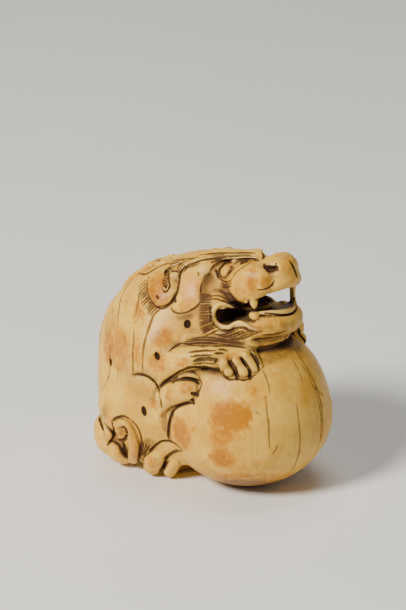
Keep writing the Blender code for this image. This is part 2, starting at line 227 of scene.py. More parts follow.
class Carving:
    """The steps of the carving, in order: each adds or cuts one form."""

    def __init__(self):
        self.steps, self.low, self.high = [], np.zeros((0, 3)), np.zeros((0, 3))
        self.rough = None  # how many of the steps are the large forms

    def _step(self, form, k, both, sign):
        f, low, high = form
        # a later form with a wide fillet still feels the large forms some way off
        margin = k + 0.3 if self.rough else max(k, 2.3) + 0.3
        low, high = np.array(low, float) - margin, np.array(high, float) + margin
        if both:  # also on the other side of the middle plane
            low, high = (
                np.array([low[0], min(low[1], -high[1]), low[2]]),
                np.array([high[0], max(high[1], -low[1]), high[2]]),
            )
        self.steps.append((f, k, both, sign))
        self.low, self.high = np.vstack([self.low, low]), np.vstack([self.high, high])

    def add(self, form, fillet=0.5, both=False):
        self._step(form, fillet, both, 1)

    def cut(self, form, fillet=0.2, both=False):
        self._step(form, fillet, both, -1)

    def at(self, p, low=None, high=None, upto=None):
        """Distance to the surface, negative inside. Steps that lie outside low..high are passed over."""
        p = np.asarray(p, np.float32)
        v = np.full(len(p), 1e3, np.float32)
        folded = p.copy()
        folded[:, 1] = -np.abs(folded[:, 1])
        if low is None:
            low, high = p.min(0), p.max(0)
        for i in np.flatnonzero(((self.high >= low) & (self.low <= high)).all(1)) if upto is None else range(upto):
            f, k, both, sign = self.steps[i]
            d = f(folded if both else p)
            v = smooth_min(v, d, k) if sign > 0 else -smooth_min(-v, d, k)
        return v

    def blocks(self, p):
        """The indices of the points, block by block."""
        size = 3.0 if len(p) > 300000 else 5.0
        b = np.floor(p / size).astype(np.int64)
        key = ((b[:, 0] + 500) * 1000 + (b[:, 1] + 500)) * 1000 + b[:, 2] + 500
        order = np.argsort(key, kind="stable")
        return np.split(order, np.flatnonzero(np.diff(key[order])) + 1)

    def many(self, p):
        """Distance for many points, block by block."""
        v = np.empty(len(p), np.float32)
        for i in self.blocks(p):
            v[i] = self.at(p[i])
        return v

    def slope(self, p, e=0.05):
        p = np.asarray(p, float)
        f = self.many if len(p) > 60 else self.at
        eye = np.eye(3)
        g = np.stack([f(p + e * eye[i]) - f(p - e * eye[i]) for i in range(3)], 1).astype(float)
        return g / np.maximum(np.linalg.norm(g, axis=1)[:, None], 1e-9)

    def meet(self, eye, d, start, lift=0.0):
        """Where sight lines meet the surface, raised by lift. A line that goes past is brought on to the form."""
        t = np.full(len(d), float(start))
        f = self.many if len(d) > 60 else self.at
        best = t.copy()
        for close in (False, True):  # first on to the large forms, then on to all of them
            if close:
                t = best - 3.0
            near = np.full(len(d), 1e3)
            live = np.ones(len(d), bool)
            for _ in range(60):
                q = eye[live] + d[live] * t[live][:, None]
                v = np.zeros(len(d))
                v[live] = f(q) if close else self.at(q, upto=self.rough)
                closer = live & (np.abs(v) < near - 1e-3)
                near, best = np.where(closer, np.abs(v), near), np.where(closer, t, best)
                t = t + 0.65 * np.clip(v, -1, 0.9 if close else 4)
                live &= (np.abs(v) > (2e-3 if close else 0.1)) & (t < start + 80)
                if close:
                    live &= t < best + 6
                if not live.any():
                    break
        p = eye + d * best[:, None]
        for _ in range(8):
            v = f(p)
            off = np.abs(v) > 0.02
            if not off.any():
                break
            p[off] = p[off] - self.slope(p[off]) * (0.8 * v[off])[:, None]
        if np.any(lift):
            p = p + self.slope(p) * np.broadcast_to(np.asarray(lift, float), (len(p),))[:, None]
        return p

    def surface(self, places, lift=0.0, view=None):
        """The points of the surface seen at the given drawing positions, or, with view = (azimuth, elevation), at
        millimetres right of and above the ball's centre as seen from there."""
        if view is None:
            d = np.array([sight(x, y) for x, y in places])
            return self.meet(np.broadcast_to(EYE, d.shape), d, REACH - 40.0, lift)
        a, e = math.radians(view[0]), math.radians(view[1])
        right = np.array([math.cos(a), math.sin(a), 0.0])
        look = np.array([-math.sin(a) * math.cos(e), math.cos(a) * math.cos(e), -math.sin(e)])
        up = np.array([-math.sin(a) * math.sin(e), math.cos(a) * math.sin(e), math.cos(e)])
        eye = np.array([right * x + up * y - look * 60 for x, y in places])
        return self.meet(eye, np.broadcast_to(look, eye.shape), 15.0, lift)


MIRROR = np.array([1.0, -1.0, 1.0])


def laid(carving, places, radii, lift, view=None, far=False, **kw):
    """A limb or lock that lies on the surface along drawing positions, or opposite to them on the far side."""
    return tube(carving.surface(places, lift, view) * (MIRROR if far else 1), radii, **kw)


def strip(carving, places, widths, heights, lift=0.0, smooth=0.4, each=6, view=None, far=False):
    """A flat lock that lies on the surface along drawing positions, widths across and heights out of it."""
    p = carving.surface(places, 0.0, view)
    n = carving.slope(p, smooth)
    p = p + n * np.broadcast_to(np.asarray(lift, float), (len(p),))[:, None]
    if far:
        p, n = p * MIRROR, n * MIRROR
    return ribbon(p, widths, heights, n, each)


def boss(carving, place, radii, lift=0.0, spin=0.0):
    """A rounded boss on the surface where the drawing shows place: radii along, up and out of the surface."""
    p = carving.surface([place], lift)
    n = carving.slope(p, 0.6)[0]
    t = RIGHT - n * (RIGHT @ n)
    t /= np.linalg.norm(t)
    u = np.cross(n, t)
    w = math.radians(spin)
    t, u = t * math.cos(w) + u * math.sin(w), u * math.cos(w) - t * math.sin(w)
    return egg(p[0], radii, np.array([t, u, n]))


# ---------------------------------------------------------------- the large forms
def large_forms():
    c = Carving()
    # trunk: haunches, back, and the neck that runs into the mane
    c.add(egg((-12.9, -3.4, -2.0), (12.1, 7.4, 11.2)), 0, both=True)
    c.add(egg((-13.2, -3.2, 6.6), (12.2, 7.2, 13.2)), 4.0, both=True)
    c.add(egg((-10.4, -1.2, 14.2), (9.6, 6.6, 8.2), turned(14)), 3.0, both=True)
    # the rump rises clear of the ground beside the ball
    c.cut(egg((-6.6, -6.0, -13.4), (3.6, 4.2, 3.6)), 0.4, both=True)
    # the ball, a little fuller low down than high up
    c.add(egg((0, 0, 0), (BALL_RADIUS,) * 3), 0.12)
    c.add(egg(at(247.5, 412, 0), (13.6, 13.6, 11.4)), 0.8)
    # shoulders, upper arms and forearms round the ball
    c.add(egg(at(160, 345, -6.4), (7.2, 4.4, 7.6), turned(20)), 3.0, both=True)
    elbow = at(161, 378, -9.6)
    wrist = c.surface([(217, 357)], 0.7)[0]
    c.add(tube([at(156, 350, -8.2), at(156, 364, -9.0), elbow], [4.4, 3.8, 1.7]), 2.4, both=True)
    c.add(tube([elbow, at(175, 364, -10.4), at(194, 357.5, -10.4), wrist], [1.7, 2.3, 1.9, 1.7]), 0.9, both=True)
    # thighs and shanks
    c.add(egg(at(129, 403.5, -7.3), (5.2, 4.5, 5.2), turned(-12)), 0.3, both=True)
    c.add(tube([at(138, 404, -8.4), at(151, 424, -8.6), at(153, 440, -7.4)], [3.6, 2.9, 2.0]), 1.6, both=True)
    # head: skull, muzzle, nose and jaw
    c.add(egg(at(207, 290.4, 0), (8.6, 6.3, 6.55), turned(14)), 1.2)
    c.add(egg((1.0, 0, 21.2), (6.6, 4.6, 3.9), turned(28)), 1.2)
    c.add(egg((5.45, 0, 23.7), (3.05, 3.2, 2.55), turned(28)), 0.6)
    c.add(egg((5.7, 0, 21.9), (3.15, 3.9, 1.8), turned(12)), 0.8)
    c.add(egg(at(249, 283.5, -3.7), (3.8, 2.3, 3.1), turned(34)), 0.7, both=True)
    jaw = [(-4.4, -5.8, 14.2), (-0.6, -5.6, 14.6), (3.4, -4.5, 14.9), (6.2, -2.6, 15.1), (6.9, 0, 15.1)]
    c.add(tube(jaw, [2.0, 1.9, 2.0, 2.05, 2.0]), 0.8, both=True)
    c.add(egg((1.0, 0, 14.6), (6.2, 4.6, 1.7), turned(10)), 0.6)
    c.add(egg(at(211, 314, -5.0), (4.4, 3.0, 4.8), turned(10)), 1.2, both=True)
    # the open mouth goes right through behind the lips
    mouth = [
        at(216, 312, -6), at(219, 307.5, -6), at(226, 308.5, -6), at(232, 310.5, -6), at(240, 306.5, -6), at(250, 301, -5),
        at(262, 297.5, -4), at(275, 293, -3), at(288, 289, -2), at(305, 286, 0), at(306, 308, 0),
        at(296, 308, -1), at(282, 311, -3), at(266, 313, -4), at(256, 321, -5), at(246, 321.5, -6), at(236, 322.5, -6),
        at(227, 326, -6), at(219, 322, -6),
    ]
    c.cut(prism([(p[0], p[2]) for p in mouth], -9, 9), 0.3)
    c.cut(prism([(0.4, 15.3), (3.0, 15.2), (4.4, 15.5), (4.9, 16.6), (4.6, 18.2), (1.0, 18.0), (0.2, 16.5)], 1.6, 9), 0.3)
    # the dip between the crest and the nose
    dip_at = at(268.6, 247.2, 0)
    c.cut(tube([dip_at + [0, -4, 0], dip_at + [0, 4, 0]], [1.25, 1.25]), 0.35)
    c.rough = len(c.steps)
    return c


def dip(c, places, side, width, depth, fillet=0.5, both=False, view=None):
    """Sinks the surface along one side of a line (1: to its right as drawn), so that the other side stands over it."""
    p = c.surface(places, 0.0, view)
    n = c.slope(p, 0.8)
    t = np.gradient(p, axis=0)
    depth = np.broadcast_to(np.asarray(depth, float), (len(p),))
    across = np.cross(t, n)
    across /= np.maximum(np.linalg.norm(across, axis=1)[:, None], 1e-9)
    count = len(p)
    w = np.broadcast_to(np.asarray(width, float), (count,))
    c.cut(ribbon(p + across * (side * 0.85 * w)[:, None] + n * 0.05, w, depth, n - across * side * 0.25, 5), fillet, both)


def fine_forms(c):
    """The locks, lids, lips, teeth, toes and curls."""
    # tongue, fangs and teeth
    c.add(tube([(-5.5, 0, 15.6), (-1.5, 0, 16.4), (1.2, 0, 16.7), (2.9, 0, 16.7)], [1.9, 1.9, 1.75, 1.3], flat=0.75, across=(0, 0, 1)), 0.3)
    c.add(egg((0.4, 0, 14.9), (3.8, 3.4, 1.1), turned(6)), 0.3)
    c.add(tube([at(253.2, 299.4, -4.5), at(253.8, 303, -4.8), at(254.6, 307.4, -4.9)], [0.75, 0.62, 0.3]), 0.08)
    c.add(tube([at(292.4, 279.5, 2.7), at(292.6, 286, 3.7), at(292.6, 294, 4.3), at(293.6, 306, 4.2)], [0.7, 0.56, 0.46, 0.6]), 0.2)
    c.add(egg(at(254.5, 316, -4.9), (0.9, 0.85, 0.9)), 0.12)
    c.add(egg((-0.9, 4.9, 15.4), (0.8, 0.8, 0.8)), 0.12)
    c.add(tube([at(261, 320, -4.3), at(258, 324, -4.5)], [0.7, 0.8]), 0.2)
    c.add(tube([(4.7, -4.5, 17.5), (6.3, -3.2, 17.45), (7.3, -1.6, 17.2), (7.6, 0.2, 16.95), (7.2, 1.9, 16.85), (6.2, 3.2, 16.8)], [0.28, 0.46, 0.5, 0.5, 0.46, 0.35]), 0.1)
    c.add(tube([(5.4, -3.6, 16.6), (6.9, -1.6, 16.3), (7.1, 0.2, 16.1), (6.8, 1.9, 16.0), (5.8, 3.4, 16.0)], [0.5, 0.7, 0.7, 0.7, 0.6]), 0.3)
    # lips: a raised band round the mouth corner
    lip = [(247, 300.5), (240, 304), (233, 306.5), (226, 304.8), (219, 304.8), (214, 309.5), (213.2, 316), (216, 323), (222, 327), (229, 327.4), (235, 324.3), (241, 323.2), (247.5, 325.6), (253, 328.6), (258, 330)]
    c.add(strip(c, lip, [0.2, 0.3, 0.34, 0.34, 0.38, 0.42, 0.42, 0.42, 0.4, 0.36, 0.34, 0.32, 0.28, 0.22, 0.08], [0.4] * 13 + [0.3, 0.1], lift=0.08, each=4), 0.12)
    low_lip = [(x, y + (4.5 if i >= 9 else 0)) for i, (x, y) in enumerate(lip)]
    c.add(strip(c, low_lip, [0.2, 0.3, 0.34, 0.34, 0.38, 0.42, 0.42, 0.42, 0.4, 0.36, 0.34, 0.32, 0.28, 0.22, 0.08], [0.4] * 13 + [0.3, 0.1], lift=0.0, each=4, far=True), 0.12)
    # the nose is fuller at its lower and upper edge in front
    c.add(egg(at(293.4, 281.0, 1.2), (0.9, 1.6, 0.8)), 0.8)
    c.add(egg(at(290.4, 267.5, 1.2), (0.9, 1.5, 1.2)), 0.8)
    # cheek puff over the upper lip and nose wing
    c.add(boss(c, (265.6, 279.4), (1.4, 1.7, 0.9), -0.62, 20), 0.6, both=True)
    # hollow of the temple behind the eye
    dip(c, [(205, 274), (208, 281), (210.4, 288)], 0, 0.8, 0.22, 0.5, True)
    # eye: socket, ball and lids
    c.cut(strip(c, [(222.4, 278), (227, 271.5), (234, 266.4), (242, 262.8), (250, 260.8)], [0.55, 0.98, 0.9, 0.6, 0.25], [0.3, 0.5, 0.5, 0.36, 0.2], lift=0.12, smooth=0.8, each=4), 0.2, both=True)
    c.add(boss(c, (227.4, 272.6), (1.14, 1.1, 1.0), 0.08, 0), 0.08, both=True)
    # brow ridges
    brow = [(194, 271.5), (204, 266.6), (214, 262.6), (223.5, 259.4), (230, 259.8), (232.4, 262.6)]
    for far in (False, True):
        drop = -0.9 if far else 0.0
        c.add(strip(c, brow, [0.6, 0.75, 0.7, 0.5, 0.34, 0.16], [0.35, 0.5, 0.55, 0.55, 0.45, 0.25], drop, 0.8, 4, far=far), 0.25)
    c.add(strip(c, [(233, 262), (240, 258.6), (249, 257.6), (256, 258.6)], [0.2, 0.3, 0.28, 0.15], [0.3, 0.42, 0.38, 0.2]), 0.15, both=True)
    # crest of long locks that sweep forward over the head
    c.add(tube([at(168, 260.5, -0.3), at(186, 258.2, -0.4), at(210, 255.6, -0.4), at(236, 254.8, -0.3), at(259.0, 255.0, -0.1)], [0.5, 0.75, 0.85, 0.8, 0.62]), 0.12, both=True)
    c.add(strip(c, [(196, 261.5), (212, 259.4), (230, 257.2), (247, 257), (257, 258.4)], [0.3, 0.42, 0.42, 0.36, 0.15], [0.35, 0.5, 0.5, 0.4, 0.25]), 0.12, both=True)
    # ear: a broad hanging lobe that runs on from the brow
    c.add(strip(c, [(214, 261), (205, 266.4), (197.4, 275), (191.6, 284), (187.6, 293.4), (184.4, 301.6)], [0.3, 1.0, 1.8, 2.35, 2.7, 2.3], [0.15, 0.35, 0.6, 0.8, 0.95, 0.85], lift=[-0.1, -0.05, 0.0, 0.02, 0.05, 0.05], smooth=1.8, each=5), 0.6, both=True)
    # the round curl behind the ear
    c.add(boss(c, (162, 287.5), (2.9, 3.3, 1.0), 0.0, 6), 0.08, both=True)
    c.cut(strip(c, [(168.6, 268.6), (166, 275), (164.6, 281), (166, 286.6)], [0.3, 0.42, 0.42, 0.3], [0.22, 0.3, 0.34, 0.28], lift=0.1, smooth=1.2, each=4), 0.12, both=True)
    c.add(boss(c, (175.4, 275.8), (0.95, 0.75, 0.2), 0.02, 0), 0.2, both=True)
    c.add(laid(c, [(163.6, 287), (165.4, 290.4), (168, 289.4), (169.2, 284)], [0.12, 0.2, 0.2, 0.12], 0.02), 0.1, both=True)
    # leaf-shaped lock at the nape, and small locks between it and the brow
    for far in (False, True):
        leaf = [(139.5, 272.3), (146, 268.8), (154, 265.2), (163, 261.6), (169, 260)]
        c.add(strip(c, leaf, [0.2, 0.6, 0.75, 0.62, 0.3], [0.3, 0.75, 0.95, 0.75, 0.4], lift=-0.5 if far else 0.0, smooth=0.8, far=far), 0.1)
    c.add(strip(c, [(186, 264), (193, 262.6), (199.5, 261)], [0.35, 0.5, 0.2], [0.35, 0.5, 0.25]), 0.1, both=True)
    c.add(strip(c, [(172, 267), (176, 264.5), (182, 262.4)], [0.25, 0.42, 0.2], [0.3, 0.45, 0.25]), 0.1, both=True)
    c.add(strip(c, [(181, 271), (184, 267.6), (187.4, 265)], [0.2, 0.34, 0.2], [0.25, 0.35, 0.2]), 0.1, both=True)
    # the root of the nose lies lower than the crest's tip, and the nose rises from it
    c.cut(tube([at(269.2, 248.8, -0.4), at(269.2, 248.8, 7)], [1.1, 1.1]), 0.15)
    c.cut(tube([at(277.4, 246.2, -0.8), at(277.4, 246.2, 7)], [0.98, 0.98]), 0.3)
    # nostrils
    c.cut(laid(c, [(266, 267.6), (271, 269.4), (276.2, 268)], [0.4, 0.62, 0.4], 0.0), 0.06, both=True)
    c.cut(laid(c, [(263.6, 263.8), (265.8, 267.4)], [0.1, 0.24], 0.0), 0.05, both=True)
    c.cut(laid(c, [(276.4, 263.2), (275.8, 267.6), (278.2, 271.2)], [0.1, 0.24, 0.1], 0.0), 0.05, both=True)
    # fur of the chest between the jaw and the forearm, and under the chin
    c.add(tube([at(176, 345, -8.6), at(196, 342.5, -8.0), at(222, 342, -6.9), at(250, 340.5, -5.2)], [1.0, 1.7, 1.8, 1.6]), 0.5, both=True)
    c.add(tube([at(246, 340.5, -4.6), at(264, 339, -3.0), at(280, 337, -0.6)], [1.5, 1.3, 0.8]), 0.5, both=True)
    # the hollow between forearm and hind paw is filled with the flank
    c.add(tube([at(166, 381, -10.3), at(180, 374.6, -10.3), at(198, 372.5, -10.0), at(214, 371.5, -8.6)], [0.8, 1.3, 1.15, 0.5]), 0.4, both=True)
    # forepaws: a rounded paw whose toes press on the ball
    palm = [(213, 356), (226, 356), (239, 356), (249, 356.4)]
    toes = (
        ((223.5, 363), (226, 367), (229.4, 372.2), 0.98), ((236, 361), (240, 366.4), (243.8, 372.4), 1.0),
        ((245, 356), (249.8, 362), (254, 369), 0.8), ((252, 353), (256.6, 359), (260, 366), 0.58),
    )
    for far in (False, True):
        low = 0.75 if far else 0.0
        lifts = [-0.1 - 0.3 * low, 0.1 - low, 0.05 - low, -0.4 - low]
        c.add(laid(c, palm, [1.8, 2.0, 2.0, 1.6], lifts, far=far, each=4), 0.5)
        for i, (root, mid, tip, r) in enumerate(toes):
            sink = low - (0.0, 0.0, 0.05, 0.2)[i] * -1
            c.add(laid(c, [root, mid, tip], [0.8 * r, r, 0.86 * r], [-sink, -0.05 - sink, 0.1 - 0.8 * sink], far=far, each=4), 0.16)
    # the raised hind paws against the ball
    paw = c.surface([(189.5, 389.6)], 0.0)[0]
    c.add(tube([at(159, 440, -7.8), at(161.5, 421, -9.2), at(164, 405, -10.2), at(170.5, 395, -10.8)], [1.5, 1.35, 1.45, 1.8]), 0.3, both=True)
    c.add(tube([at(167, 396, -10.6), at(178, 391, -11.2), paw], [1.9, 2.1, 1.85]), 0.25, both=True)
    c.add(laid(c, [(179, 377.5), (186, 374.6), (193.5, 375), (199.5, 378.6)], [0.22, 0.42, 0.46, 0.2], 0.0), 0.1, both=True)
    # hind feet that come out underneath
    c.add(tube([at(175, 446.5, -7.4), at(166, 447.5, -8.4), at(157, 455, -8.7), at(153, 465, -7.8)], [0.8, 1.25, 1.75, 1.55]), 0.12, both=True)
    c.add(tube([at(182, 454, -6.9), at(175.5, 460, -7.8), at(170, 470, -7.3)], [0.7, 1.08, 1.12]), 0.08, both=True)
    # tail: locks that curl up at the rump
    c.add(egg(at(114, 434, -6.2), (3.3, 3.2, 3.6)), 1.2)
    c.add(egg(at(124, 449, -6.8), (2.6, 2.4, 2.4)), 1.0)
    c.add(tube([at(109, 444, -7.6), at(103, 434.5, -7.4), at(100.6, 425, -7.0), at(101.4, 417, -7.4)], [1.05, 1.25, 1.1, 0.6]), 0.15)
    c.add(tube([at(108, 442, -8.8), at(109.4, 433, -9.2), at(107.2, 425.5, -9.0), at(104, 420.4, -8.4)], [0.6, 0.78, 0.62, 0.3]), 0.08)
    c.add(tube([at(113.5, 444, -8.8), at(116.5, 449.5, -9.0), at(122, 455.4, -8.6)], [0.8, 1.1, 0.7]), 0.1)
    c.add(strip(c, [(133.5, 459), (135.2, 449), (134.4, 437), (130, 427.6), (123.4, 422), (117.4, 424)], [0.95, 1.1, 1.05, 0.95, 0.8, 0.7], [0.8, 1.1, 1.2, 1.15, 1.0, 0.8], lift=-0.05, smooth=1.5, each=4), 0.1)
    c.add(boss(c, (118.4, 432), (0.62, 1.1, 0.5), -0.25, 0), 0.25)
    # the same kind of locks on the side that the drawing doesn't show, and a middle tuft up the back
    back = (-90.0, 0.0)
    c.add(strip(c, [(-2.9, -9.5), (-3.6, -6.2), (-3.0, -3.0), (-1.6, -0.6)], [0.6, 1.0, 0.85, 0.3], [0.8, 1.1, 1.0, 0.4], smooth=1.5, view=back), 0.1)
    c.add(strip(c, [(0.2, -10.4), (0.4, -6.4), (0.9, -2.2), (0.3, 1.6), (-0.8, 3.6)], [0.8, 1.25, 1.15, 0.8, 0.25], [0.9, 1.2, 1.1, 0.9, 0.4], smooth=1.5, view=back), 0.1)
    c.add(strip(c, [(2.8, -9.6), (3.7, -6.4), (3.5, -3.0), (2.2, -0.4)], [0.6, 0.9, 0.8, 0.3], [0.8, 1.05, 0.95, 0.4], smooth=1.5, view=back), 0.1)
    c.add(strip(c, [(-7.6, -8.6), (-8.4, -5.6), (-8.0, -2.8), (-6.2, -1.4), (-4.6, -2.6), (-4.8, -4.6), (-6.0, -4.6)], [0.9, 1.05, 0.95, 0.8, 0.6, 0.5, 0.55], [0.9, 1.1, 1.1, 1.0, 0.9, 0.8, 0.8], lift=-0.1, smooth=1.5, view=back), 0.1)
    for s in (-1, 1):
        c.add(strip(c, [(s * 1.5, 21.5), (s * 2.4, 18.6), (s * 1.9, 15.6), (s * 0.9, 13.6)], [0.4, 0.85, 0.7, 0.25], [0.4, 0.75, 0.65, 0.3], smooth=1.0, view=back), 0.1)
    c.add(strip(c, [(0, 22.0), (0, 18.4), (0, 14.6), (0, 11.6)], [0.5, 0.95, 0.8, 0.25], [0.5, 0.8, 0.75, 0.3], smooth=1.0, view=back), 0.1)
    # where one form stands over the next
    dip(c, [(132.6, 375.4), (137, 374.4), (143, 374.8), (149, 377), (153, 380)], -1, [0.2, 0.7, 0.9, 0.8, 0.5], [0.0, 0.2, 0.36, 0.36, 0.2], 0.5, True)
    dip(c, [(201, 298), (202, 291), (203.4, 283), (205.4, 277)], 1, 0.5, 0.1, 0.4, True)
    dip(c, [(171, 413), (168.8, 421), (168.2, 430), (168.4, 437)], -1, 0.5, 0.3, 0.4, True)
    # cord holes underneath, joined inside
    for x, y, r in ((-14.6, -2.6, 1.75), (-19.6, 2.2, 1.35)):
        c.cut(tube([(x, y, -15.0), (x, y, -11.0), (-17.1, -0.2, -8.6)], [r, r, 1.5]), 0.3)
    return c


# ---------------------------------------------------------------- lines, cracks and spots cut into the surface
def between(first, last, count, stray=0.25):
    """count lines that pass evenly from the first to the last, each a little off."""
    a, b = np.array(first, float), np.array(last, float)
    return [a + (b - a) * t + rng.normal(0, stray, (1, 2)) for t in np.linspace(0, 1, count)]


def marks():
    """Each mark is (kind, side, view, places, half width, lift of its middle line)."""
    out = []

    def hair(lines, width=0.13, lift=0.02, side="both", view=None, kind="hair"):
        for places in lines:
            out.append((kind, side, view, np.array(places, float), width * rng.uniform(0.85, 1.15), lift))

    # cheek
    hair(between([(200.5, 294.6), (206, 294.2), (211.8, 294.4)], [(199.5, 318.6), (205, 318.6), (209.6, 318.4)], 10), 0.12)
    hair(between([(199.5, 323.6), (205, 321.4), (211, 319.8)], [(203, 336.4), (211, 333), (219, 329.6)], 6), 0.125)
    hair([[(210.4, y), (211.0, y + 1.2)] for y in (308, 312, 316.2, 320)], 0.22)
    # over the upper lip
    hair([[(212, 292.4), (220, 291.4), (229, 294.4), (237.4, 299.4)], [(205, 296), (214, 295.4), (222, 296.6), (227, 299.6)]], 0.12)
    hair([[(205, 300), (215, 298.8), (222, 300.6), (229, 303)], [(227.6, 303.6), (233, 303.2), (237.4, 301)]], 0.13)
    hair([[(213, 290), (218, 289.4), (223, 290.8)]], 0.12)
    # under the jaw
    hair([[(216, 326.4), (222, 330.4), (229, 331), (234.4, 328.8), (239, 327.6), (245, 328.2), (250, 331), (256.4, 331.4)]], 0.17)
    hair(between([(214, 333.8), (222, 334.6), (230, 332.6), (238, 330)], [(229, 341.6), (243, 339), (252, 335.6), (262, 332)], 5), 0.13)
    hair([[(262, 335), (274, 334.4), (286, 331)], [(252, 340), (266, 338), (282, 336.6)]], 0.15)
    # teeth and tip of the jaw
    hair([[(262, 312.6), (272, 314.2), (283, 315.2), (291.6, 313.6), (296.8, 309.6)]], 0.2, 0.0)
    # fringe of fur below the round curl
    hair(between([(147, 280), (142, 283.4), (137.4, 287.6)], [(149.4, 296), (145.4, 299.2), (141.4, 303)], 7), 0.11)
    hair(between([(151, 298.6), (147, 301.8), (143.6, 306)], [(159.4, 309.4), (155, 313), (151, 318)], 7), 0.12)
    # round curl
    hair([[(148.8, 276), (147, 283), (147.2, 291), (150, 299), (155, 305.4), (160.6, 308.2), (166, 307), (170.8, 303.4)]], 0.14)
    hair([[(181.4, 269.4), (179.6, 278), (178.4, 286), (176.4, 293.6), (173.8, 299.4), (171, 303.6)]], 0.22)
    hair(between([(170, 267.6), (166.6, 270.4)], [(167.4, 284), (163.2, 286.6)], 7, 0.15), 0.1)
    hair([[(170.6, 265.8), (168.8, 273), (168.6, 280), (169.8, 285.6), (167.6, 290.6), (164.4, 291.4), (162.8, 288.6)]], 0.14)
    hair([[(166.6, 283.6), (166.8, 286.4), (165.4, 288)]], 0.14)
    hair([[(171.6, 271.6), (176, 271.2), (180, 272.8)]], 0.1)
    hair([[(157, 296.4), (158, 298)], [(174.6, 299), (175.2, 301)]], 0.24)
    # ear
    hair([[(170.4, 307.4), (173.4, 311.4), (178.6, 313.6), (185, 313), (192, 310), (197.6, 305.6), (200.6, 301)]], 0.13)
    hair([[(198.2, 272.6), (198.8, 275)], [(201.6, 284), (200.8, 292)]], 0.1)
    # locks of the mane and the crest
    hair([[(139, 273.4), (145, 274), (151, 271.4), (157.4, 267.4), (164, 264.4), (170, 263)]], 0.24)
    hair(between([(180.5, 264), (177, 269)], [(187.5, 267), (184, 272.5)], 4, 0.15), 0.12)
    hair([[(170, 264.4), (174.6, 262.6), (180, 261)], [(184, 262.4), (189.6, 260), (196, 259)], [(187, 267.4), (193.4, 266), (200, 262.6)]], 0.17)
    hair([[(172, 260.8), (184, 259), (198, 257.4)], [(206, 256.8), (222, 255.6), (240, 254.8), (256, 255.8)]], 0.14)
    hair([[(196, 262.4), (205, 259.6), (216, 258.2), (230, 256.4), (245, 255.4), (257, 256.6)]], 0.19)
    hair([[(198, 255), (214, 253.4), (232, 252.4)], [(212, 262.4), (224, 257.8)], [(226, 253.6), (242, 252.6), (256, 253)]], 0.14)
    hair([[(262.6, 252.4), (264.2, 256), (262.4, 259.4)]], 0.2)
    # brow, eye and muzzle
    hair([[(220.2, 276.4), (219.8, 270.4), (222.4, 265.8), (226.8, 262.4), (231.6, 262)]], 0.22, 0.02)
    hair([[(215.6, 269.4), (217.6, 273), (218.6, 278.4)]], 0.2)
    hair([[(221, 279), (225, 281.8), (229, 281.4), (232.4, 278.4)], [(221.4, 282.8), (226, 285.2), (231.4, 282.8)], [(222.6, 286), (226.6, 287.8), (231, 285.8)]], 0.13)
    hair([[(232.6, 277), (236.4, 271.8), (243, 267), (250.4, 263)]], 0.16)
    hair([[(233.4, 264.2), (239, 260.6), (246, 259), (252.4, 259)]], 0.18)
    hair([[(241.6, 262.8), (246.6, 261)]], 0.3, 0.08)
    hair([[(253, 258.6), (256.6, 260.6), (260, 260)]], 0.15)
    hair([[(274.2, 280.8), (271.8, 285.4), (267, 288.6), (261.4, 290), (257.4, 290)]], 0.18)
    hair([[(289.6, 260.4), (292.4, 264.8), (295.2, 271), (297.2, 278)]], 0.19, 0.0, "near")
    hair([[(266.6, 268.4), (271, 269.8), (275.6, 268.6)]], 0.34, 0.02)
    # forearm tuft and paw
    hair([[(188, 352.4), (202, 350.6), (216, 350.6)], [(190, 356.8), (202, 355.4), (213, 355.4)], [(192, 364.4), (205, 363.4), (216, 364.4)]], 0.17)
    hair([[(186, 367.4), (200, 366.6), (216, 367.4)], [(214.6, 353.4), (219, 353.2), (224, 353.4)], [(218.4, 349.8), (223, 349.4), (227.6, 350.6)]], 0.19)
    hair([[(193, 361.6), (201, 359.6), (209, 359), (217.2, 360.2)]], 0.36, 0.1)
    hair([[(213.6, 358.4), (217.4, 360.4), (214, 363.4)]], 0.2)
    # fur between the jaw and the forearm
    hair(between([(186, 340.6), (205, 337.6), (228, 341), (244, 344)], [(182, 346.6), (200, 345.4), (222, 345.6), (244, 348)], 4, 0.4), 0.13)
    hair([[(168.6, 351.6), (174, 347.2), (181.4, 343)]], 0.19)
    hair([[(181.4, 343), (196, 345.6), (214, 346), (232, 345.4), (246, 347.4)]], 0.17)
    # toes
    hair([[(230.4, 361.4), (233.2, 365), (236.2, 369.6)], [(241, 358.4), (244.2, 362.4), (247, 367.6)]], 0.34, 0.04)
    hair([[(249.6, 351), (253.6, 357), (257, 364), (258.6, 370)]], 0.24, 0.0)
    hair([[(254.6, 354), (258.4, 360), (259.4, 365)]], 0.2, 0.02)
    hair([[(236.6, 371), (237.4, 378.6)], [(248.8, 370.6), (250.2, 378)]], 0.28, 0.0)
    hair([[(222.4, 369.4), (224.4, 375), (229.6, 379.4), (236.8, 378.8)], [(237.4, 378.6), (243.6, 380), (250, 377.8), (256, 374)]], 0.14)
    # the raised hind paw
    hair([[(160.4, 386.6), (166.4, 381.4), (174, 375.6), (182.6, 370.4), (192, 368), (203, 368), (214, 369)]], 0.22)
    hair([[(183, 377.4), (190, 377.8), (195.4, 380.2), (199.4, 384.6)]], 0.18)
    hair([[(192.4, 393.6), (197.2, 394.6)], [(192.4, 399.6), (193.8, 403)]], 0.28)
    hair([[(173.2, 382.2), (177.4, 379.6)]], 0.2)
    hair([[(160, 398), (161, 403), (161.6, 408)]], 0.15)
    hair([[(132.6, 374.8), (140, 374.2), (147, 376), (153, 380.2), (157.2, 385.4), (159.4, 391), (159.8, 398)]], 0.19)
    hair([[(199.4, 379), (201.4, 383.6), (199.4, 390), (197, 394)]], 0.12)
    hair([[(194, 402.8), (187.4, 403), (181, 404.4), (175.6, 408.2), (171.6, 415), (169.4, 424), (168.6, 433), (168.6, 439)]], 0.22)
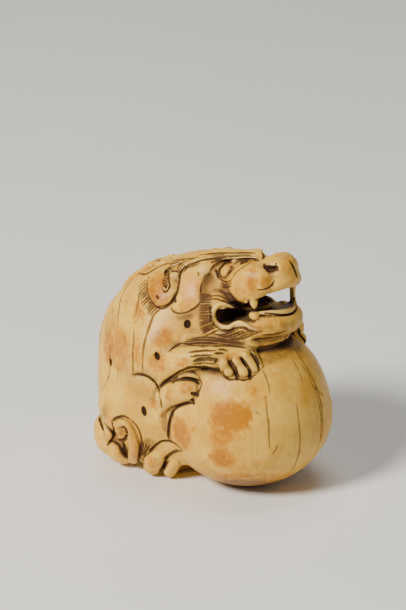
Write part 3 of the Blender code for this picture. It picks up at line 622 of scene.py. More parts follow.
    # fur over the hind foot
    hair(between([(140.6, 441), (140.4, 448), (138.4, 456)], [(150, 445), (147.4, 450), (144.2, 456)], 4), 0.13)
    hair([[(144, 457), (149, 452.4), (155, 446), (161, 441.8), (167, 440.8), (173, 442.4), (178.4, 446.4), (183, 450.6)]], 0.2)
    hair([[(182, 450.8), (176, 451.6), (170, 455), (165.6, 459.6), (163.8, 466), (162.6, 473)]], 0.2)
    hair([[(177.4, 449.4), (171.4, 452.6), (166, 456.6), (163.6, 459)]], 0.13)
    # tail
    hair([[(120.6, 427.6), (124, 427.8), (126.2, 431.6), (126.4, 436.4), (123.6, 440), (118.6, 440)]], 0.28, 0.0, "near")
    hair([[(130.6, 419.6), (136.6, 426), (140.6, 435), (142.2, 446), (142.4, 456)], [(112, 421), (117, 417.6), (124, 416.4), (130.6, 419.6)]], 0.16, 0.02, "near")
    hair([[(111.6, 421), (113.6, 428), (114.4, 433), (112, 439), (107.6, 445.6)]], 0.22, 0.0, "near")
    hair([[(122.6, 440), (124.4, 446), (126, 453), (128, 458.6)]], 0.26, 0.0, "near")
    hair([[(98.6, 416.6), (100.8, 423), (103.8, 430.6)]], 0.26, 0.0, "near")
    back = (-90.0, 0.0)
    for x, y, h in ((-8.2, -6.6, 4.4), (-3.2, -6.8, 5.0), (3.2, -6.8, 4.6), (0.0, -7.4, 6.4), (0.7, -6.8, 6.0), (-0.7, -6.4, 7.2)):
        hair([[(x - 0.1, y - 1.6), (x + 0.15, y + h * 0.4), (x * 0.9, y + h)]], 0.16, 0.02, "near", back)
    for x in (-2.3, -1.7, -0.4, 0.4, 1.7, 2.3):
        hair([[(x * 0.7, 20.6), (x, 18.4), (x * 0.92, 15.6), (x * 0.7, 13.6)]], 0.14, 0.02, "near", back)
    for x in np.linspace(-6.4, 6.4, 15):
        hair([[(x * 0.9, 15.4 - 0.12 * x * x), (x, 13.6 - 0.13 * x * x), (x * 1.1, 12.2 - 0.14 * x * x)]], 0.14, 0.02, "near", back)

    def crack(places, width=0.085, side="near", view=None):
        hair([places], width * 1.3, 0.02, side, view, "crack")

    crack([(131, 281), (125, 290), (121, 298), (119.4, 305), (118.4, 315), (117.6, 327)], 0.1)
    crack([(144.4, 288), (139.6, 293), (138.4, 300), (137, 308), (135.4, 317)], 0.1)
    crack([(134, 327), (133.4, 340), (132.6, 352), (132.9, 365), (133, 374)], 0.12)
    crack([(155, 313.6), (151.6, 320), (149.8, 326), (147, 333), (144, 345), (142.8, 356), (142.4, 373)], 0.11)
    crack([(113, 318), (111, 328), (108, 337)], 0.06)
    crack([(124.6, 334), (125.2, 342)], 0.06)
    crack([(117.4, 364), (118, 374), (118, 384)], 0.06)
    crack([(261.6, 368), (266.6, 378), (269, 386), (270, 394)], 0.09)
    crack([(265.4, 396), (267.2, 410), (268.8, 425), (269.6, 448)], 0.1)
    crack([(291, 357), (298, 369), (303, 383)], 0.05)
    crack([(295, 350), (304, 363), (312, 377), (317.6, 390), (321, 403), (322.4, 416), (322.4, 430), (320.6, 442)], 0.1)
    crack([(296.6, 404), (299, 420), (300.2, 438), (299, 452), (295.4, 464), (290.6, 472)], 0.1)
    crack([(278, 445), (276, 449.6), (272, 454.6)], 0.085)
    crack([(256, 411.6), (260, 414.6)], 0.06)
    # others of the same kind where the drawing doesn't reach
    for places in (
        [(-9.6, 12), (-9.2, 5), (-9.4, -1)], [(-6.0, 14), (-6.4, 7.4), (-5.8, 2.6)], [(-3.0, 9.4), (-3.3, 4)],
        [(2.6, 10.6), (2.9, 5.4), (2.2, 1.4)], [(6.2, 13), (6.6, 7), (6.3, 0.6)], [(9.4, 9), (9.7, 3.4), (9.2, -3)],
    ):
        crack(places, 0.09, "near", back)
    for places in ([(6, 8), (7, 2), (6.4, -5)], [(-1.6, 5), (-2.4, -2), (-1.8, -8)], [(2.6, 3.6), (3.2, -3.6)]):
        crack(places, 0.085, "near", (100.0, 0.0))
    for places in ([(-5, 12), (-5.4, 6), (-5, 1)], [(-12, 10), (-12.6, 3)]):
        crack(places, 0.09, "near", (180.0, 0.0))
    return out


def spots():
    """Drilled spots: (side, place, radii across and up, turn in degrees)."""
    near = [((187.5, 324), 0.5, 0.62, 0), ((157.2, 356), 0.36, 0.6, 18), ((110.6, 362), 0.36, 0.58, 6), ((144, 411), 0.38, 0.74, 14)]
    out = [("near", *s) for s in near]
    out += [("far", (x + 3, y - 4), a, b, -t) for (x, y), a, b, t in near[:3]] + [("far", (133, 404), 0.38, 0.7, 0)]
    return out


def cut_marks(c):
    """Lays the marks on the surface and cuts them; returns them as tubes for the stain."""
    todo = marks()
    tubes = []
    for view in {m[2] for m in todo}:
        group = [m for m in todo if m[2] == view]
        places = np.concatenate([spline(m[3], 3) for m in group])
        p = c.surface(places, 0.0, view)
        n = c.slope(p, 0.12)
        start = 0
        for kind, side, _, points, width, lift in group:
            count = len(spline(points, 3))
            q = p[start : start + count] + n[start : start + count] * lift
            start += count
            u = np.linspace(0, 1, count)
            taper = np.clip(np.minimum(u, 1 - u) * 5, 0, 1) ** 0.7
            if count < 5:
                taper = np.full(count, 1.0)
            tubes.append((kind, side, tube(q, width * (0.35 + 0.65 * taper), each=1)))
    out = []
    for kind, side, form in tubes:
        c.cut(form, 0.05 if kind == "hair" else 0.03, both=side == "both")
        out.append((kind, side == "both", form))
    for side, place, a, b, turn in spots():
        p = c.surface([place])
        n = c.slope(p, 0.5)[0]
        t = RIGHT - n * (RIGHT @ n)
        t /= np.linalg.norm(t)
        u = np.cross(n, t)
        w = math.radians(turn)
        axes = np.array([t * math.cos(w) + u * math.sin(w), u * math.cos(w) - t * math.sin(w), n])
        centre = p[0] + n * 0.04
        if side == "far":
            centre, axes = centre * [1, -1, 1], axes * [1, -1, 1]
        form = egg(centre, (a * 1.1, b * 1.1, 0.3), axes)
        c.cut(form, 0.04)
        out.append(("spot", False, form))
    return out


# ---------------------------------------------------------------- from distances to a mesh
def sampled(c, low, high, h, coarse=1.6, middle=4, fine=3):
    """The distance on a grid of spacing h, worked out finely only near the surface, in two passes."""
    steps = [middle, fine]
    spacing = h * middle * fine
    n = [int(math.ceil((high[i] - low[i]) / spacing)) for i in range(3)]
    axes = [low[i] + spacing * np.arange(n[i] + 1) for i in range(3)]
    grid = np.stack(np.meshgrid(*axes, indexing="ij"), -1).reshape(-1, 3).astype(np.float32)
    v = c.many(grid).reshape([k + 1 for k in n])
    base = np.asarray(low, np.float32)
    for each in steps:
        band = spacing * (1.0 if each == middle else 1.15)
        for axis in range(3):
            a = np.moveaxis(v, axis, 0)
            t = (np.arange(each) / each).astype(np.float32).reshape(1, each, 1, 1)
            b = a[:-1, None] * (1 - t) + a[1:, None] * t
            b = np.concatenate([b.reshape(-1, *a.shape[1:]), a[-1:]])
            v = np.moveaxis(b, 0, axis)
        v = np.ascontiguousarray(v)
        spacing /= each
        done = np.zeros(v.shape, bool)
        wanted = np.abs(v) < band * (1.0 if each == middle else 0.7)
        while wanted.any():
            near = np.argwhere(wanted)
            done |= wanted
            p = base + near.astype(np.float32) * np.float32(spacing)
            v[near[:, 0], near[:, 1], near[:, 2]] = c.many(p)
            wanted = np.zeros(v.shape, bool)
            for axis in range(3):
                f, d, w = (np.moveaxis(m, axis, 0) for m in (v, done, wanted))
                change = ((f[:-1] < 0) != (f[1:] < 0)) | (np.minimum(np.abs(f[:-1]), np.abs(f[1:])) < spacing * 0.6)
                w[1:] |= change & ~d[1:]
                w[:-1] |= change & ~d[:-1]
    return v


def net(v, low, h):
    """A closed net of quads through the cells that the surface passes."""
    inside = v < 0
    corners = [(i, j, k) for i in (0, 1) for j in (0, 1) for k in (0, 1)]
    cells = tuple(s - 1 for s in v.shape)
    count = np.zeros(cells, np.int8)
    for i, j, k in corners:
        count += inside[i : i + cells[0], j : j + cells[1], k : k + cells[2]]
    active = np.argwhere((count > 0) & (count < 8))
    index = np.full(cells, -1, np.int32)
    index[tuple(active.T)] = np.arange(len(active), dtype=np.int32)
    val = {q: v[tuple((active + q).T)] for q in corners}
    total, number = np.zeros((len(active), 3)), np.zeros(len(active))
    for p in corners:
        for axis in range(3):
            if p[axis]:
                continue
            q = tuple(p[a] + (a == axis) for a in range(3))
            a, b = val[p], val[q]
            m = (a < 0) != (b < 0)
            t = np.where(m, a / np.where(m, a - b, 1), 0)
            place = np.array(p, float) + np.eye(3)[axis] * t[:, None]
            total += place * m[:, None]
            number += m
    points = np.asarray(low) + (active + total / number[:, None]) * h
    faces = []
    for axis in range(3):
        u, w = (axis + 1) % 3, (axis + 2) % 3
        a = np.moveaxis(inside, (axis, u, w), (0, 1, 2))
        change = a[:-1, 1:-1, 1:-1] != a[1:, 1:-1, 1:-1]
        e = np.argwhere(change)
        first = a[:-1, 1:-1, 1:-1][change]
        idx = np.moveaxis(index, (axis, u, w), (0, 1, 2))
        s, p, q = e[:, 0], e[:, 1], e[:, 2]
        quad = np.stack([idx[s, p, q], idx[s, p + 1, q], idx[s, p + 1, q + 1], idx[s, p, q + 1]], 1)
        quad[~first] = quad[~first][:, ::-1]
        faces.append(quad)
    return points, np.concatenate(faces)


def new_mesh(name, points, faces):
    mesh = bpy.data.meshes.new(name)
    mesh.vertices.add(len(points))
    mesh.vertices.foreach_set("co", np.asarray(points, np.float32).ravel())
    k = faces.shape[1]
    mesh.loops.add(faces.size)
    mesh.loops.foreach_set("vertex_index", faces.astype(np.int32).ravel())
    mesh.polygons.add(len(faces))
    mesh.polygons.foreach_set("loop_start", np.arange(0, faces.size, k, dtype=np.int32))
    mesh.update(calc_edges=True)
    mesh.validate()
    return mesh


def places_of(mesh):
    p = np.empty(len(mesh.vertices) * 3, np.float32)
    mesh.vertices.foreach_get("co", p)
    return p.reshape(-1, 3).astype(float)


def normals_of(mesh):
    p = np.empty(len(mesh.vertices) * 3, np.float32)
    mesh.vertex_normals.foreach_get("vector", p)
    return p.reshape(-1, 3).astype(float)


def near_marks(p, cut, reach):
    """How far each point lies from the nearest mark's wall (negative inside it), up to reach; by kind."""
    out = {kind: np.full(len(p), reach, np.float32) for kind in ("hair", "crack", "spot")}
    q = p.astype(np.float32)
    folded = q.copy()
    folded[:, 1] = -np.abs(folded[:, 1])
    size = 2.0
    for pts, both_only in ((folded, True), (q, False)):
        cell = np.floor(pts / size).astype(np.int64)
        key = ((cell[:, 0] + 500) * 1000 + (cell[:, 1] + 500)) * 1000 + cell[:, 2] + 500
        order = np.argsort(key, kind="stable")
        ks, starts = np.unique(key[order], return_index=True)
        ends = np.append(starts[1:], len(order))
        table = dict(zip(ks.tolist(), zip(starts.tolist(), ends.tolist())))
        for kind, both, (f, low, high) in cut:
            if both != both_only:
                continue
            a, b = np.floor((low - reach) / size).astype(int), np.floor((high + reach) / size).astype(int)
            chosen = []
            for i in range(a[0], b[0] + 1):
                for j in range(a[1], b[1] + 1):
                    for k in range(a[2], b[2] + 1):
                        s = table.get(((i + 500) * 1000 + (j + 500)) * 1000 + k + 500)
                        if s:
                            chosen.append(order[s[0] : s[1]])
            if not chosen:
                continue
            idx = np.concatenate(chosen)
            w = pts[idx]
            idx = idx[((w >= low - reach) & (w <= high + reach)).all(1)]
            if len(idx):
                out[kind][idx] = np.minimum(out[kind][idx], f(pts[idx]))
    return out


def carved():
    """The finished mesh, in millimetres from the ball's centre, with the masks of stain, painted shade, wear and lines
    as attributes.
    """
    c = fine_forms(large_forms())
    low = (-28.5, -15.6, -15.2)
    high = (15.0, 15.6, 28.6)
    points, faces = net(sampled(c, low, high, GRID), low, GRID)
    mesh = new_mesh("shishi_carving", points, faces)
    obj = bpy.data.objects.new("shishi_carving", mesh)
    bpy.context.scene.collection.objects.link(obj)
    thin = obj.modifiers.new("thin", "DECIMATE")
    thin.ratio = min(1.0, 0.36 * TRIANGLES / (2 * len(faces)))
    flat = bpy.data.meshes.new_from_object(obj.evaluated_get(bpy.context.evaluated_depsgraph_get()))
    obj.modifiers.clear()
    obj.data = flat
    # finer triangles along the marks
    cut = cut_marks(c)
    bm = bmesh.new()
    bm.from_mesh(flat)
    bmesh.ops.triangulate(bm, faces=bm.faces[:])
    for target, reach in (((0.7, 1.0), (0.34, 0.36), (0.2, 0.17), (0.13, 0.09))):
        bm.verts.ensure_lookup_table()
        p = np.array([v.co[:] for v in bm.verts])
        d = near_marks(p, cut, reach + 0.5)
        d = np.minimum(d["hair"], np.minimum(d["crack"], d["spot"]))
        long = [
            e
            for e in bm.edges
            if (d[e.verts[0].index] < reach or d[e.verts[1].index] < reach) and e.calc_length() > target * 1.3
        ]
        print("finer", target, len(bm.faces), len(long))
        long.sort(key=lambda e: -e.calc_length())
        long = long[: max(0, (TRIANGLES - len(bm.faces)) // 2 - 200)]
        bmesh.ops.subdivide_edges(bm, edges=long, cuts=1)
        bmesh.ops.triangulate(bm, faces=[f for f in bm.faces if len(f.verts) > 3], quad_method="SHORT_EDGE")
    bmesh.ops.recalc_face_normals(bm, faces=bm.faces[:])
    bm.to_mesh(flat)
    bm.free()
    # every point is brought on to the finished surface along its normal
    p, n = places_of(flat), normals_of(flat)
    d = near_marks(p, cut, 0.5)
    plain = np.minimum(d["hair"], np.minimum(d["crack"], d["spot"])) > 0.3
    for _ in range(4):
        v = c.many(p)
        p -= n * np.clip(v, -0.25, 0.25)[:, None] * 0.9
    p[:, 2] = np.maximum(p[:, 2], FOOT_LEVEL)
    flat.vertices.foreach_set("co", p.astype(np.float32).ravel())
    flat.update()
    n = normals_of(flat)
    # masks: hollows (stain and painted shade), deep recesses (painted shade), edges, lines
    marks_near = near_marks(p, cut, 0.5)
    hollow_stain_and_shade = np.zeros(len(p))
    for reach, weight in ((0.35, 0.5), (0.9, 0.6), (2.0, 0.5)):
        v = c.many(p + n * reach)
        hollow_stain_and_shade += weight * np.clip(1 - v / reach, 0, 1.2)
    # how deep in a recess between the forms each point lies, for painted shade
    deep_painted_shade = np.clip(1 - c.many(p + n * 3.2) / 3.2, 0, 1.2)
    edge = np.zeros(len(p))
    for reach, weight in ((0.3, 0.5), (0.8, 0.5)):
        v = -c.many(p - n * reach)
        edge += weight * np.clip(1 - v / reach, 0, 1.2)
    line = 1 - np.clip((marks_near["hair"] - 0.01) / 0.06, 0, 1)
    crack = 1 - np.clip((marks_near["crack"] - 0.01) / 0.07, 0, 1)
    spot = 1 - np.clip((marks_near["spot"] - 0.0) / 0.07, 0, 1)
    return obj, c, p, n, dict(hollow_stain_and_shade=hollow_stain_and_shade, deep_painted_shade=deep_painted_shade, edge=edge, line=np.maximum(line, 0), crack=crack, spot=spot)


# ---------------------------------------------------------------- stains in the ivory, and patches of painted shade
def stains(c, p):
    """Soft patches of stain and of painted shade, as (kind: 0 to 1 at each point)."""
    # kind, side, place on the drawing, radii across and up the drawing in its units, turn, strength
    spots_of_colour = [
        # the ball
        ("orange_stain_and_shade", (227, 417), 20, 17, 0, 0.95), ("orange_stain_and_shade", (242, 416), 10, 15, 0, 1.0), ("orange_stain_and_shade", (222, 434), 13, 12, 0, 0.8),
        ("orange_stain_and_shade", (222, 459), 14, 10, 0, 0.9), ("orange_stain_and_shade", (220, 446), 10, 14, 0, 0.62), ("orange_stain_and_shade", (181, 434), 10, 18, 12, 0.9),
        ("orange_stain_and_shade", (252, 388), 6, 10, 20, 0.4), ("orange_stain_and_shade", (194, 428), 3, 6, 0, 0.5), ("orange_stain_and_shade", (238, 392), 4, 4, 0, 0.4),
        # the orange bands at (290, 476) and (244, 479) darken the ball's lower edge as painted shade
        ("orange_stain_and_shade", (240, 438), 10, 3, 0, 0.4), ("orange_stain_and_shade", (290, 476), 30, 6, -12, 0.4), ("orange_stain_and_shade", (244, 479), 46, 8, 0, 0.55),
        ("orange_stain_and_shade", (200, 472), 14, 6, -35, 0.4), ("orange_stain_and_shade", (302, 360), 10, 16, 30, 0.25), ("orange_stain_and_shade", (205, 462), 6, 5, 0, 0.3),
        ("pink", (225, 408), 8, 9, 0, 1.0), ("pink", (207, 389), 6, 11, 0, 0.9), ("pink", (222, 388), 12, 8, 0, 0.55),
        # painted shadow on the ball under the forepaw (225, 377) and under the head (276, 354), and painted shade along
        # its bottom (248, 485)
        ("brown_stain_and_shade", (225, 377), 22, 5, 0, 0.35), ("brown_stain_and_shade", (276, 354), 26, 10, 20, 0.5), ("brown_stain_and_shade", (248, 485), 48, 7, 0, 0.7),
        # the head
        ("orange_stain_and_shade", (252, 280), 6, 16, 0, 0.8), ("orange_stain_and_shade", (240, 290), 8, 8, 0, 0.35), ("orange_stain_and_shade", (265, 282), 7, 7, 0, 0.62),
        ("orange_stain_and_shade", (285, 266), 10, 12, 0, 0.3), ("orange_stain_and_shade", (274, 322), 16, 8, 0, 0.42), ("orange_stain_and_shade", (250, 262), 8, 4, 0, 0.4),
        ("orange_stain_and_shade", (216, 261), 14, 4, -16, 0.35), ("pink", (240, 282), 9, 12, 0, 0.5), ("orange_stain_and_shade", (243, 303), 8, 3, -20, 0.5),
        ("brown_stain_and_shade", (208, 279), 5, 10, 10, 0.55), ("brown_stain_and_shade", (216, 275), 3, 8, 0, 0.5), ("brown_stain_and_shade", (205, 313), 8, 22, 0, 0.75),
        # painted shade on the jaw under the muzzle (283, 328), (262, 329), and in the hollow beside the eye (240, 262)
        ("brown_stain_and_shade", (283, 328), 22, 7, 10, 0.35), ("brown_stain_and_shade", (262, 329), 15, 4, 0, 0.45), ("brown_stain_and_shade", (283, 257), 10, 4, 8, 0.3), ("brown_stain_and_shade", (240, 262), 9, 4, -15, 0.35), ("brown_stain_and_shade", (270, 268), 8, 5, 0, 0.85),
        # painted shade under the jaw (272, 338) and (232, 334)
        ("brown_stain_and_shade", (226, 285), 7, 4, 0, 0.25), ("brown_stain_and_shade", (272, 338), 26, 5, 6, 0.6), ("brown_stain_and_shade", (232, 334), 20, 4, 8, 0.5),
        ("brown_stain_and_shade", (222, 252), 40, 3, 0, 0.2), ("brown_stain_and_shade", (176, 262), 12, 5, 0, 0.5), ("brown_stain_and_shade", (222, 296), 12, 4, 0, 0.3),
        # ear, curl and mane
        ("orange_stain_and_shade", (157, 288), 11, 18, 0, 0.9), ("orange_stain_and_shade", (162, 300), 11, 8, 0, 0.6), ("pink", (170, 296), 8, 10, 0, 0.5),
        ("orange_stain_and_shade", (148, 288), 4, 12, 0, 0.5), ("pink", (190, 288), 11, 18, 0, 1.0), ("orange_stain_and_shade", (187, 300), 10, 10, 0, 0.4), ("orange_stain_and_shade", (200, 292), 4, 14, 15, 0.6),
        ("orange_stain_and_shade", (183, 309), 12, 4, 0, 0.6), ("orange_stain_and_shade", (190, 262), 8, 4, 0, 0.5), ("brown_stain_and_shade", (184, 316), 12, 4, 0, 0.4),
        ("brown_stain_and_shade", (148, 300), 5, 14, -20, 0.35), ("brown_stain_and_shade", (177, 284), 3, 14, 10, 0.4),
        # back, flank and shoulder
        ("orange_stain_and_shade", (120, 350), 14, 24, 0, 0.62), ("orange_stain_and_shade", (112, 322), 8, 20, 0, 0.42), ("orange_stain_and_shade", (140, 314), 9, 15, 0, 0.55),
        ("orange_stain_and_shade", (109, 345), 9, 20, 0, 0.75), ("orange_stain_and_shade", (128, 300), 8, 14, 0, 0.35), ("orange_stain_and_shade", (137, 352), 4, 22, 0, 0.5),
        ("orange_stain_and_shade", (163, 337), 11, 11, 0, 0.72), ("orange_stain_and_shade", (158, 362), 11, 11, 0, 0.66), ("pink", (170, 324), 12, 12, 0, 0.8),
        ("orange_stain_and_shade", (180, 362), 14, 5, -8, 0.5), ("orange_stain_and_shade", (150, 334), 5, 16, 0, 0.4), ("brown_stain_and_shade", (190, 326), 10, 8, 0, 0.25),
        # thigh, paws and tail
        ("orange_stain_and_shade", (155, 403), 7, 9, 0, 0.55), ("orange_stain_and_shade", (144, 384), 3, 3, 0, 0.5), ("orange_stain_and_shade", (186, 389), 7, 8, 0, 0.6),
        ("orange_stain_and_shade", (169, 395), 5, 8, 0, 0.5), ("orange_stain_and_shade", (152, 463), 6, 8, 0, 0.5), ("orange_stain_and_shade", (162, 420), 5, 9, 0, 0.45),
        ("orange_stain_and_shade", (232, 357), 10, 5, 0, 0.5), ("orange_stain_and_shade", (104, 437), 6, 7, 0, 0.45), ("orange_stain_and_shade", (134, 456), 5, 6, 0, 0.35),
        # painted shade in the recess between the jaw and the forearm (214, 341), and on the side of the shank turned
        # away (165, 423)
        ("brown_stain_and_shade", (214, 341), 36, 7, 0, 0.62), ("brown_stain_and_shade", (165, 423), 4, 16, 8, 0.6), ("brown_stain_and_shade", (149, 445), 8, 9, 0, 0.55),
        # painted shade under the forearm (190, 373)
        ("brown_stain_and_shade", (190, 373), 16, 4, 0, 0.45), ("brown_stain_and_shade", (104, 412), 5, 8, 0, 0.45), ("brown_stain_and_shade", (205, 359), 12, 4, 0, 0.4),
        # painted shadow under the rump between the hind foot and the ball (189, 472)
        ("brown_stain_and_shade", (115, 437), 4, 5, 0, 0.5), ("brown_stain_and_shade", (122, 448), 4, 10, 0, 0.5), ("brown_stain_and_shade", (189, 472), 12, 6, 0, 1.0),
    ]
    out = {k: np.zeros(len(p)) for k in ("orange_stain_and_shade", "pink", "brown_stain_and_shade")}
    middle = c.surface([s[1] for s in spots_of_colour])
    for (kind, _, a, b, turn, strength), m in zip(spots_of_colour, middle):
        w = math.radians(turn)
        across, along = RIGHT * math.cos(w) + UP * math.sin(w), UP * math.cos(w) - RIGHT * math.sin(w)
        for mirror in (1, -1):
            q = p * [1, mirror, 1] - m
            x, y, z = q @ across / (a * UNIT), q @ along / (b * UNIT), q @ LOOK / (0.8 * (a + b) * UNIT)
            fall = np.clip(1.6 - 1.15 * np.sqrt(x * x + y * y + z * z), 0, 1)
            fall = fall * fall * (3 - 2 * fall)
            # the side that isn't drawn is stained and shaded in much the same places, but less
            out[kind] = np.maximum(out[kind], fall * strength * (1 if mirror == 1 or kind == "brown_stain_and_shade" else 0.7))
    return out


def colour_attribute(mesh, name, values):
    layer = mesh.attributes.new(name, "FLOAT_COLOR", "POINT")
    full = np.ones((len(mesh.vertices), 4), np.float32)
    for i, v in enumerate(values):
        full[:, i] = np.clip(v, 0, 1)
    layer.data.foreach_set("color", full.ravel())


# ---------------------------------------------------------------- materials
class Nodes:
    """A short way to write shader node trees."""

    def __init__(self, name):
        self.material = bpy.data.materials.new(name)
        self.material.use_nodes = True
        self.tree = self.material.node_tree
        self.shader = self.tree.nodes["Principled BSDF"]

    def link(self, value, socket):
        if isinstance(value, bpy.types.NodeSocket):
            self.tree.links.new(value, socket)
        elif value is not None:
            socket.default_value = value

    def node(self, kind, inputs=None, out=0, **settings):
        n = self.tree.nodes.new(kind)
        for k, v in settings.items():
            setattr(n, k, v)
        for k, v in (inputs or {}).items():
            self.link(v, n.inputs[k])
        return n.outputs[out]

    def math(self, how, a, b=None, clamp=False):
        return self.node("ShaderNodeMath", {0: a, 1: b}, operation=how, use_clamp=clamp)

    def mix(self, factor, a, b, how="MIX"):
        n = self.tree.nodes.new("ShaderNodeMix")
        n.data_type, n.blend_type = "RGBA", how
        self.link(factor, n.inputs[0])
        for value, i in ((a, 6), (b, 7)):
            self.link(value if isinstance(value, bpy.types.NodeSocket) else (*value, 1.0), n.inputs[i])
        return n.outputs[2]

    def noise(self, vector, scale, detail=4.0, rough=0.55, distort=0.0):
        return self.node(
            "ShaderNodeTexNoise", {"Vector": vector, "Scale": scale, "Detail": detail, "Roughness": rough, "Distortion": distort}
        )

    def ramp(self, value, low, high, to_low=0.0, to_high=1.0, smooth=True):
        return self.node(
            "ShaderNodeMapRange",
            {"Value": value, "From Min": low, "From Max": high, "To Min": to_low, "To Max": to_high},
            interpolation_type="SMOOTHSTEP" if smooth else "LINEAR",
        )


def ivory():
    m = Nodes("aged_ivory")
    place = m.node("ShaderNodeTexCoord", out=3)
    mm = m.node("ShaderNodeVectorMath", {0: place, 1: (1000.0, 1000.0, 1000.0)}, operation="MULTIPLY")
    grain_at = m.node("ShaderNodeVectorMath", {0: mm, 1: (1.0, 1.0, 0.16)}, operation="MULTIPLY")
    lines = m.node("ShaderNodeSeparateColor", {0: m.node("ShaderNodeAttribute", attribute_name="lines")}).node
    form = m.node("ShaderNodeSeparateColor", {0: m.node("ShaderNodeAttribute", attribute_name="form")}).node
    tint = m.node("ShaderNodeSeparateColor", {0: m.node("ShaderNodeAttribute", attribute_name="tint")}).node
    line, crack, spot = lines.outputs
    hollow_stain_and_shade, deep_painted_shade, edge = form.outputs
    orange_stain_and_shade, pink, brown_stain_and_shade = tint.outputs

    cloud = m.noise(mm, 0.16, 3)
    mottle = m.noise(mm, 0.55, 5, 0.6, 0.3)
    streak = m.noise(grain_at, 1.5, 5, 0.6)
    fine = m.noise(mm, 3.2, 4, 0.6)
    patch = m.noise(mm, 0.9, 6, 0.68, 0.6)

    cream = m.mix(m.ramp(cloud, 0.36, 0.64), (0.80, 0.485, 0.075), (0.68, 0.355, 0.03))
    cream = m.mix(m.math("MULTIPLY", m.ramp(streak, 0.42, 0.7), 0.42), cream, (0.56, 0.27, 0.04))
    cream = m.mix(m.math("MULTIPLY", m.ramp(mottle, 0.52, 0.74), 0.45), cream, (0.54, 0.25, 0.03))
    cream = m.mix(m.math("MULTIPLY", m.ramp(fine, 0.54, 0.74), 0.28), cream, (0.50, 0.23, 0.03))
    cream = m.mix(m.math("MULTIPLY", m.ramp(patch, 0.30, 0.46, 1.0, 0.0), 0.38), cream, (0.85, 0.59, 0.16))
    # stains with ragged edges; some orange and brown patches are painted shade and shadow rather than stain
    grain = m.noise(grain_at, 2.6, 5, 0.7, 0.4)
    ragged = m.math("ADD", m.ramp(patch, 0.25, 0.75, -0.42, 0.46, False), m.ramp(grain, 0.3, 0.7, -0.22, 0.22, False))
    o = m.math("MULTIPLY", m.ramp(m.math("ADD", orange_stain_and_shade, m.math("MULTIPLY", ragged, m.ramp(orange_stain_and_shade, 0.02, 0.35))), 0.12, 0.80), 0.92)
    k = m.ramp(m.math("ADD", pink, m.math("MULTIPLY", ragged, 0.45)), 0.25, 1.0)
    colour = m.mix(m.math("MULTIPLY", k, 0.6), cream, (0.70, 0.28, 0.065))
    colour = m.mix(o, colour, (0.52, 0.205, 0.004))
    strong = m.math("MULTIPLY", m.ramp(m.math("ADD", orange_stain_and_shade, ragged), 0.66, 1.0), 0.75)
    colour = m.mix(strong, colour, (0.41, 0.14, 0.002))
    # the brown patches: stain, and painted shade where they stand for shadow
    b = m.ramp(m.math("ADD", brown_stain_and_shade, m.math("MULTIPLY", ragged, m.math("MULTIPLY", brown_stain_and_shade, 1.0))), 0.05, 0.75, 0.0, 0.84)
    colour = m.mix(b, colour, (0.19, 0.086, 0.016))
    # worn edges are paler; hollows keep the stain and carry painted shade over it
    worn = m.math("MULTIPLY", m.ramp(edge, 0.16, 0.6), 0.55)
    colour = m.mix(worn, colour, (0.86, 0.62, 0.21))
    h = m.ramp(m.math("ADD", hollow_stain_and_shade, m.math("MULTIPLY", m.ramp(fine, 0.3, 0.7, -0.5, 0.5, False), 0.12)), 0.14, 0.62, 0.0, 0.95)
    colour = m.mix(m.math("MULTIPLY", h, 0.8), colour, (0.16, 0.07, 0.022))
    # painted shade: the deepest hollows go nearly black
    colour = m.mix(m.ramp(hollow_stain_and_shade, 0.5, 1.0, 0.0, 0.8), colour, (0.05, 0.02, 0.008))
    # painted shade: the recesses between the forms go nearly black
    colour = m.mix(m.ramp(deep_painted_shade, 0.55, 1.0, 0.0, 0.85), colour, (0.045, 0.022, 0.014))
    # engraved lines, cracks and spots
    colour = m.mix(m.math("MULTIPLY", line, m.ramp(fine, 0.3, 0.7, 0.72, 0.95, False)), colour, (0.055, 0.022, 0.008))
    colour = m.mix(m.math("MULTIPLY", crack, m.ramp(mottle, 0.35, 0.65, 0.45, 0.85, False)), colour, (0.12, 0.05, 0.018))
    colour = m.mix(m.math("MULTIPLY", spot, 0.97), colour, (0.018, 0.007, 0.003))
    # small dark specks in the pores
    dust = m.node("ShaderNodeTexVoronoi", {"Vector": mm, "Scale": 0.9})
    speck = m.math("MULTIPLY", m.ramp(dust, 0.05, 0.1, 1.0, 0.0), m.ramp(mottle, 0.52, 0.6))
    colour = m.mix(m.math("MULTIPLY", speck, 0.55), colour, (0.22, 0.10, 0.03))
    m.link(colour, m.shader.inputs["Base Color"])

    rough = m.ramp(mottle, 0.3, 0.7, 0.34, 0.46, False)
    cuts = m.math("MAXIMUM", m.math("MAXIMUM", h, line), m.math("MAXIMUM", crack, spot))
    rough = m.math("ADD", rough, m.math("MULTIPLY", cuts, 0.5), True)
    m.link(rough, m.shader.inputs["Roughness"])
    m.shader.inputs["Subsurface Weight"].default_value = 0.12
    m.shader.inputs["Subsurface Radius"].default_value = (1.0, 0.55, 0.25)
    m.shader.inputs["Subsurface Scale"].default_value = 0.0008
    m.shader.inputs["IOR"].default_value = 1.5
    m.shader.inputs["Specular IOR Level"].default_value = 0.24
    height = m.math("ADD", m.math("MULTIPLY", streak, 0.5), m.math("MULTIPLY", fine, 0.5))
    bump = m.node("ShaderNodeBump", {"Height": height, "Strength": 0.16, "Distance": 0.0001})
    m.link(bump, m.shader.inputs["Normal"])
    return m.material


def plain(name, colour, rough):
    m = Nodes(name)
    place = m.node("ShaderNodeTexCoord", out=3)
    n = m.noise(place, 14.0, 3)
    m.link(m.mix(m.ramp(n, 0.3, 0.7), colour, tuple(v * 0.97 for v in colour)), m.shader.inputs["Base Color"])
    m.shader.inputs["Roughness"].default_value = rough
    return m.material


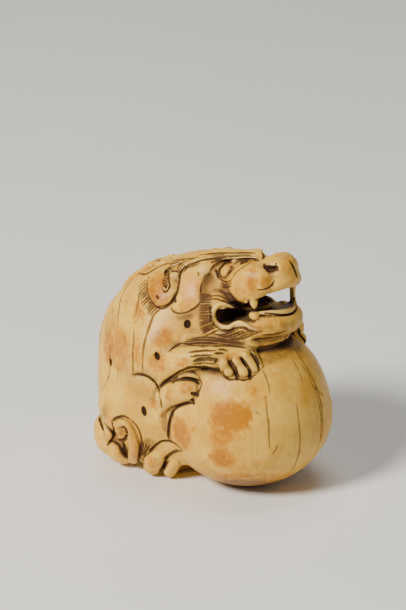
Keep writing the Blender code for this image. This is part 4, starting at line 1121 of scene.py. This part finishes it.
# ---------------------------------------------------------------- floor, light and camera
def floor_and_wall():
    """A pale floor that curves up into a backdrop behind the carving, square to the camera."""
    ahead = Vector((LOOK[0], LOOK[1], 0)).normalized()
    aside = Vector((ahead.y, -ahead.x, 0))
    profile = [(-0.9, 0.0), (0.45, 0.0)]
    profile += [(0.45 + 0.3 * math.sin(t), 0.3 - 0.3 * math.cos(t)) for t in np.linspace(0.1, math.pi / 2, 14)]
    profile += [(0.75, 1.6)]
    bm = bmesh.new()
    rows = []
    for w in (-1.6, 1.6):
        rows.append([bm.verts.new(ahead * d + aside * w + Vector((0, 0, z))) for d, z in profile])
    for i in range(len(profile) - 1):
        bm.faces.new((rows[0][i], rows[1][i], rows[1][i + 1], rows[0][i + 1]))
    bmesh.ops.recalc_face_normals(bm, faces=bm.faces[:])
    mesh = bpy.data.meshes.new("floor")
    bm.to_mesh(mesh)
    bm.free()
    mesh.shade_smooth()
    floor = bpy.data.objects.new("floor", mesh)
    bpy.context.scene.collection.objects.link(floor)
    mesh.materials.append(plain("floor_pale", (0.86, 0.85, 0.83), 0.75))


def looking(position, target):
    """A placement at position whose -Z looks at target."""
    d = Vector(target) - Vector(position)
    m = d.to_track_quat("-Z", "Y").to_matrix().to_4x4()
    m.translation = Vector(position)
    return m


def light(name, right, up, near, size, watts, colour=(1, 1, 1)):
    """A soft lamp at distances to the camera's right, above and towards it, aimed at the carving."""
    target = Vector((0, 0, 0.019))
    data = bpy.data.lights.new(name, "AREA")
    data.shape, data.size, data.energy, data.color = "DISK", size, watts, colour
    lamp = bpy.data.objects.new(name, data)
    flat = Vector((LOOK[0], LOOK[1], 0)).normalized()
    position = target + Vector(RIGHT) * right + Vector((0, 0, 1)) * up - flat * near
    lamp.matrix_world = looking(position, target)
    bpy.context.scene.collection.objects.link(lamp)


def camera():
    data = bpy.data.cameras.new("camera")
    data.sensor_fit = "AUTO"
    data.sensor_width = 36.0
    data.lens = 36.0 * REACH / (610 * UNIT)
    data.clip_start, data.clip_end = 0.01, 20.0
    cam = bpy.data.objects.new("camera", data)
    m = Matrix((RIGHT, UP, -LOOK)).transposed().to_4x4()
    m.translation = Vector((EYE + SHIFT) * 0.001)
    cam.matrix_world = m
    bpy.context.scene.collection.objects.link(cam)
    bpy.context.scene.camera = cam


# ---------------------------------------------------------------- the scene
camera()
floor_and_wall()
light("key", -0.40, 0.42, 0.36, 0.20, 7.5, (1.0, 0.955, 0.875))
light("fill", 0.55, 0.22, 0.30, 0.5, 0.33, (1.0, 0.98, 0.95))
light("top", 0.05, 0.62, -0.12, 0.4, 1.4)
world = bpy.data.worlds.new("studio")
bpy.context.scene.world = world
world.use_nodes = True
world.node_tree.nodes["Background"].inputs[0].default_value = (1.0, 1.0, 1.0, 1.0)
world.node_tree.nodes["Background"].inputs[1].default_value = 0.07

obj, form, points, normals, masks = carved()
mesh = obj.data
tint = stains(form, points)
colour_attribute(mesh, "lines", (masks["line"], masks["crack"], masks["spot"]))
# form carries the stain and painted shade of the hollows, the painted shade of deep recesses, and the worn edges
colour_attribute(mesh, "form", (masks["hollow_stain_and_shade"], masks["deep_painted_shade"], masks["edge"]))
# tint: stains, some of them painted shade and shadow
colour_attribute(mesh, "tint", (tint["orange_stain_and_shade"], tint["pink"], tint["brown_stain_and_shade"]))
mesh.vertices.foreach_set("co", ((points + SHIFT) * 0.001).astype(np.float32).ravel())
mesh.update()
mesh.materials.clear()
mesh.materials.append(ivory())
mesh.shade_smooth()
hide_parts("shishi_with_ball")
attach(obj, "root")
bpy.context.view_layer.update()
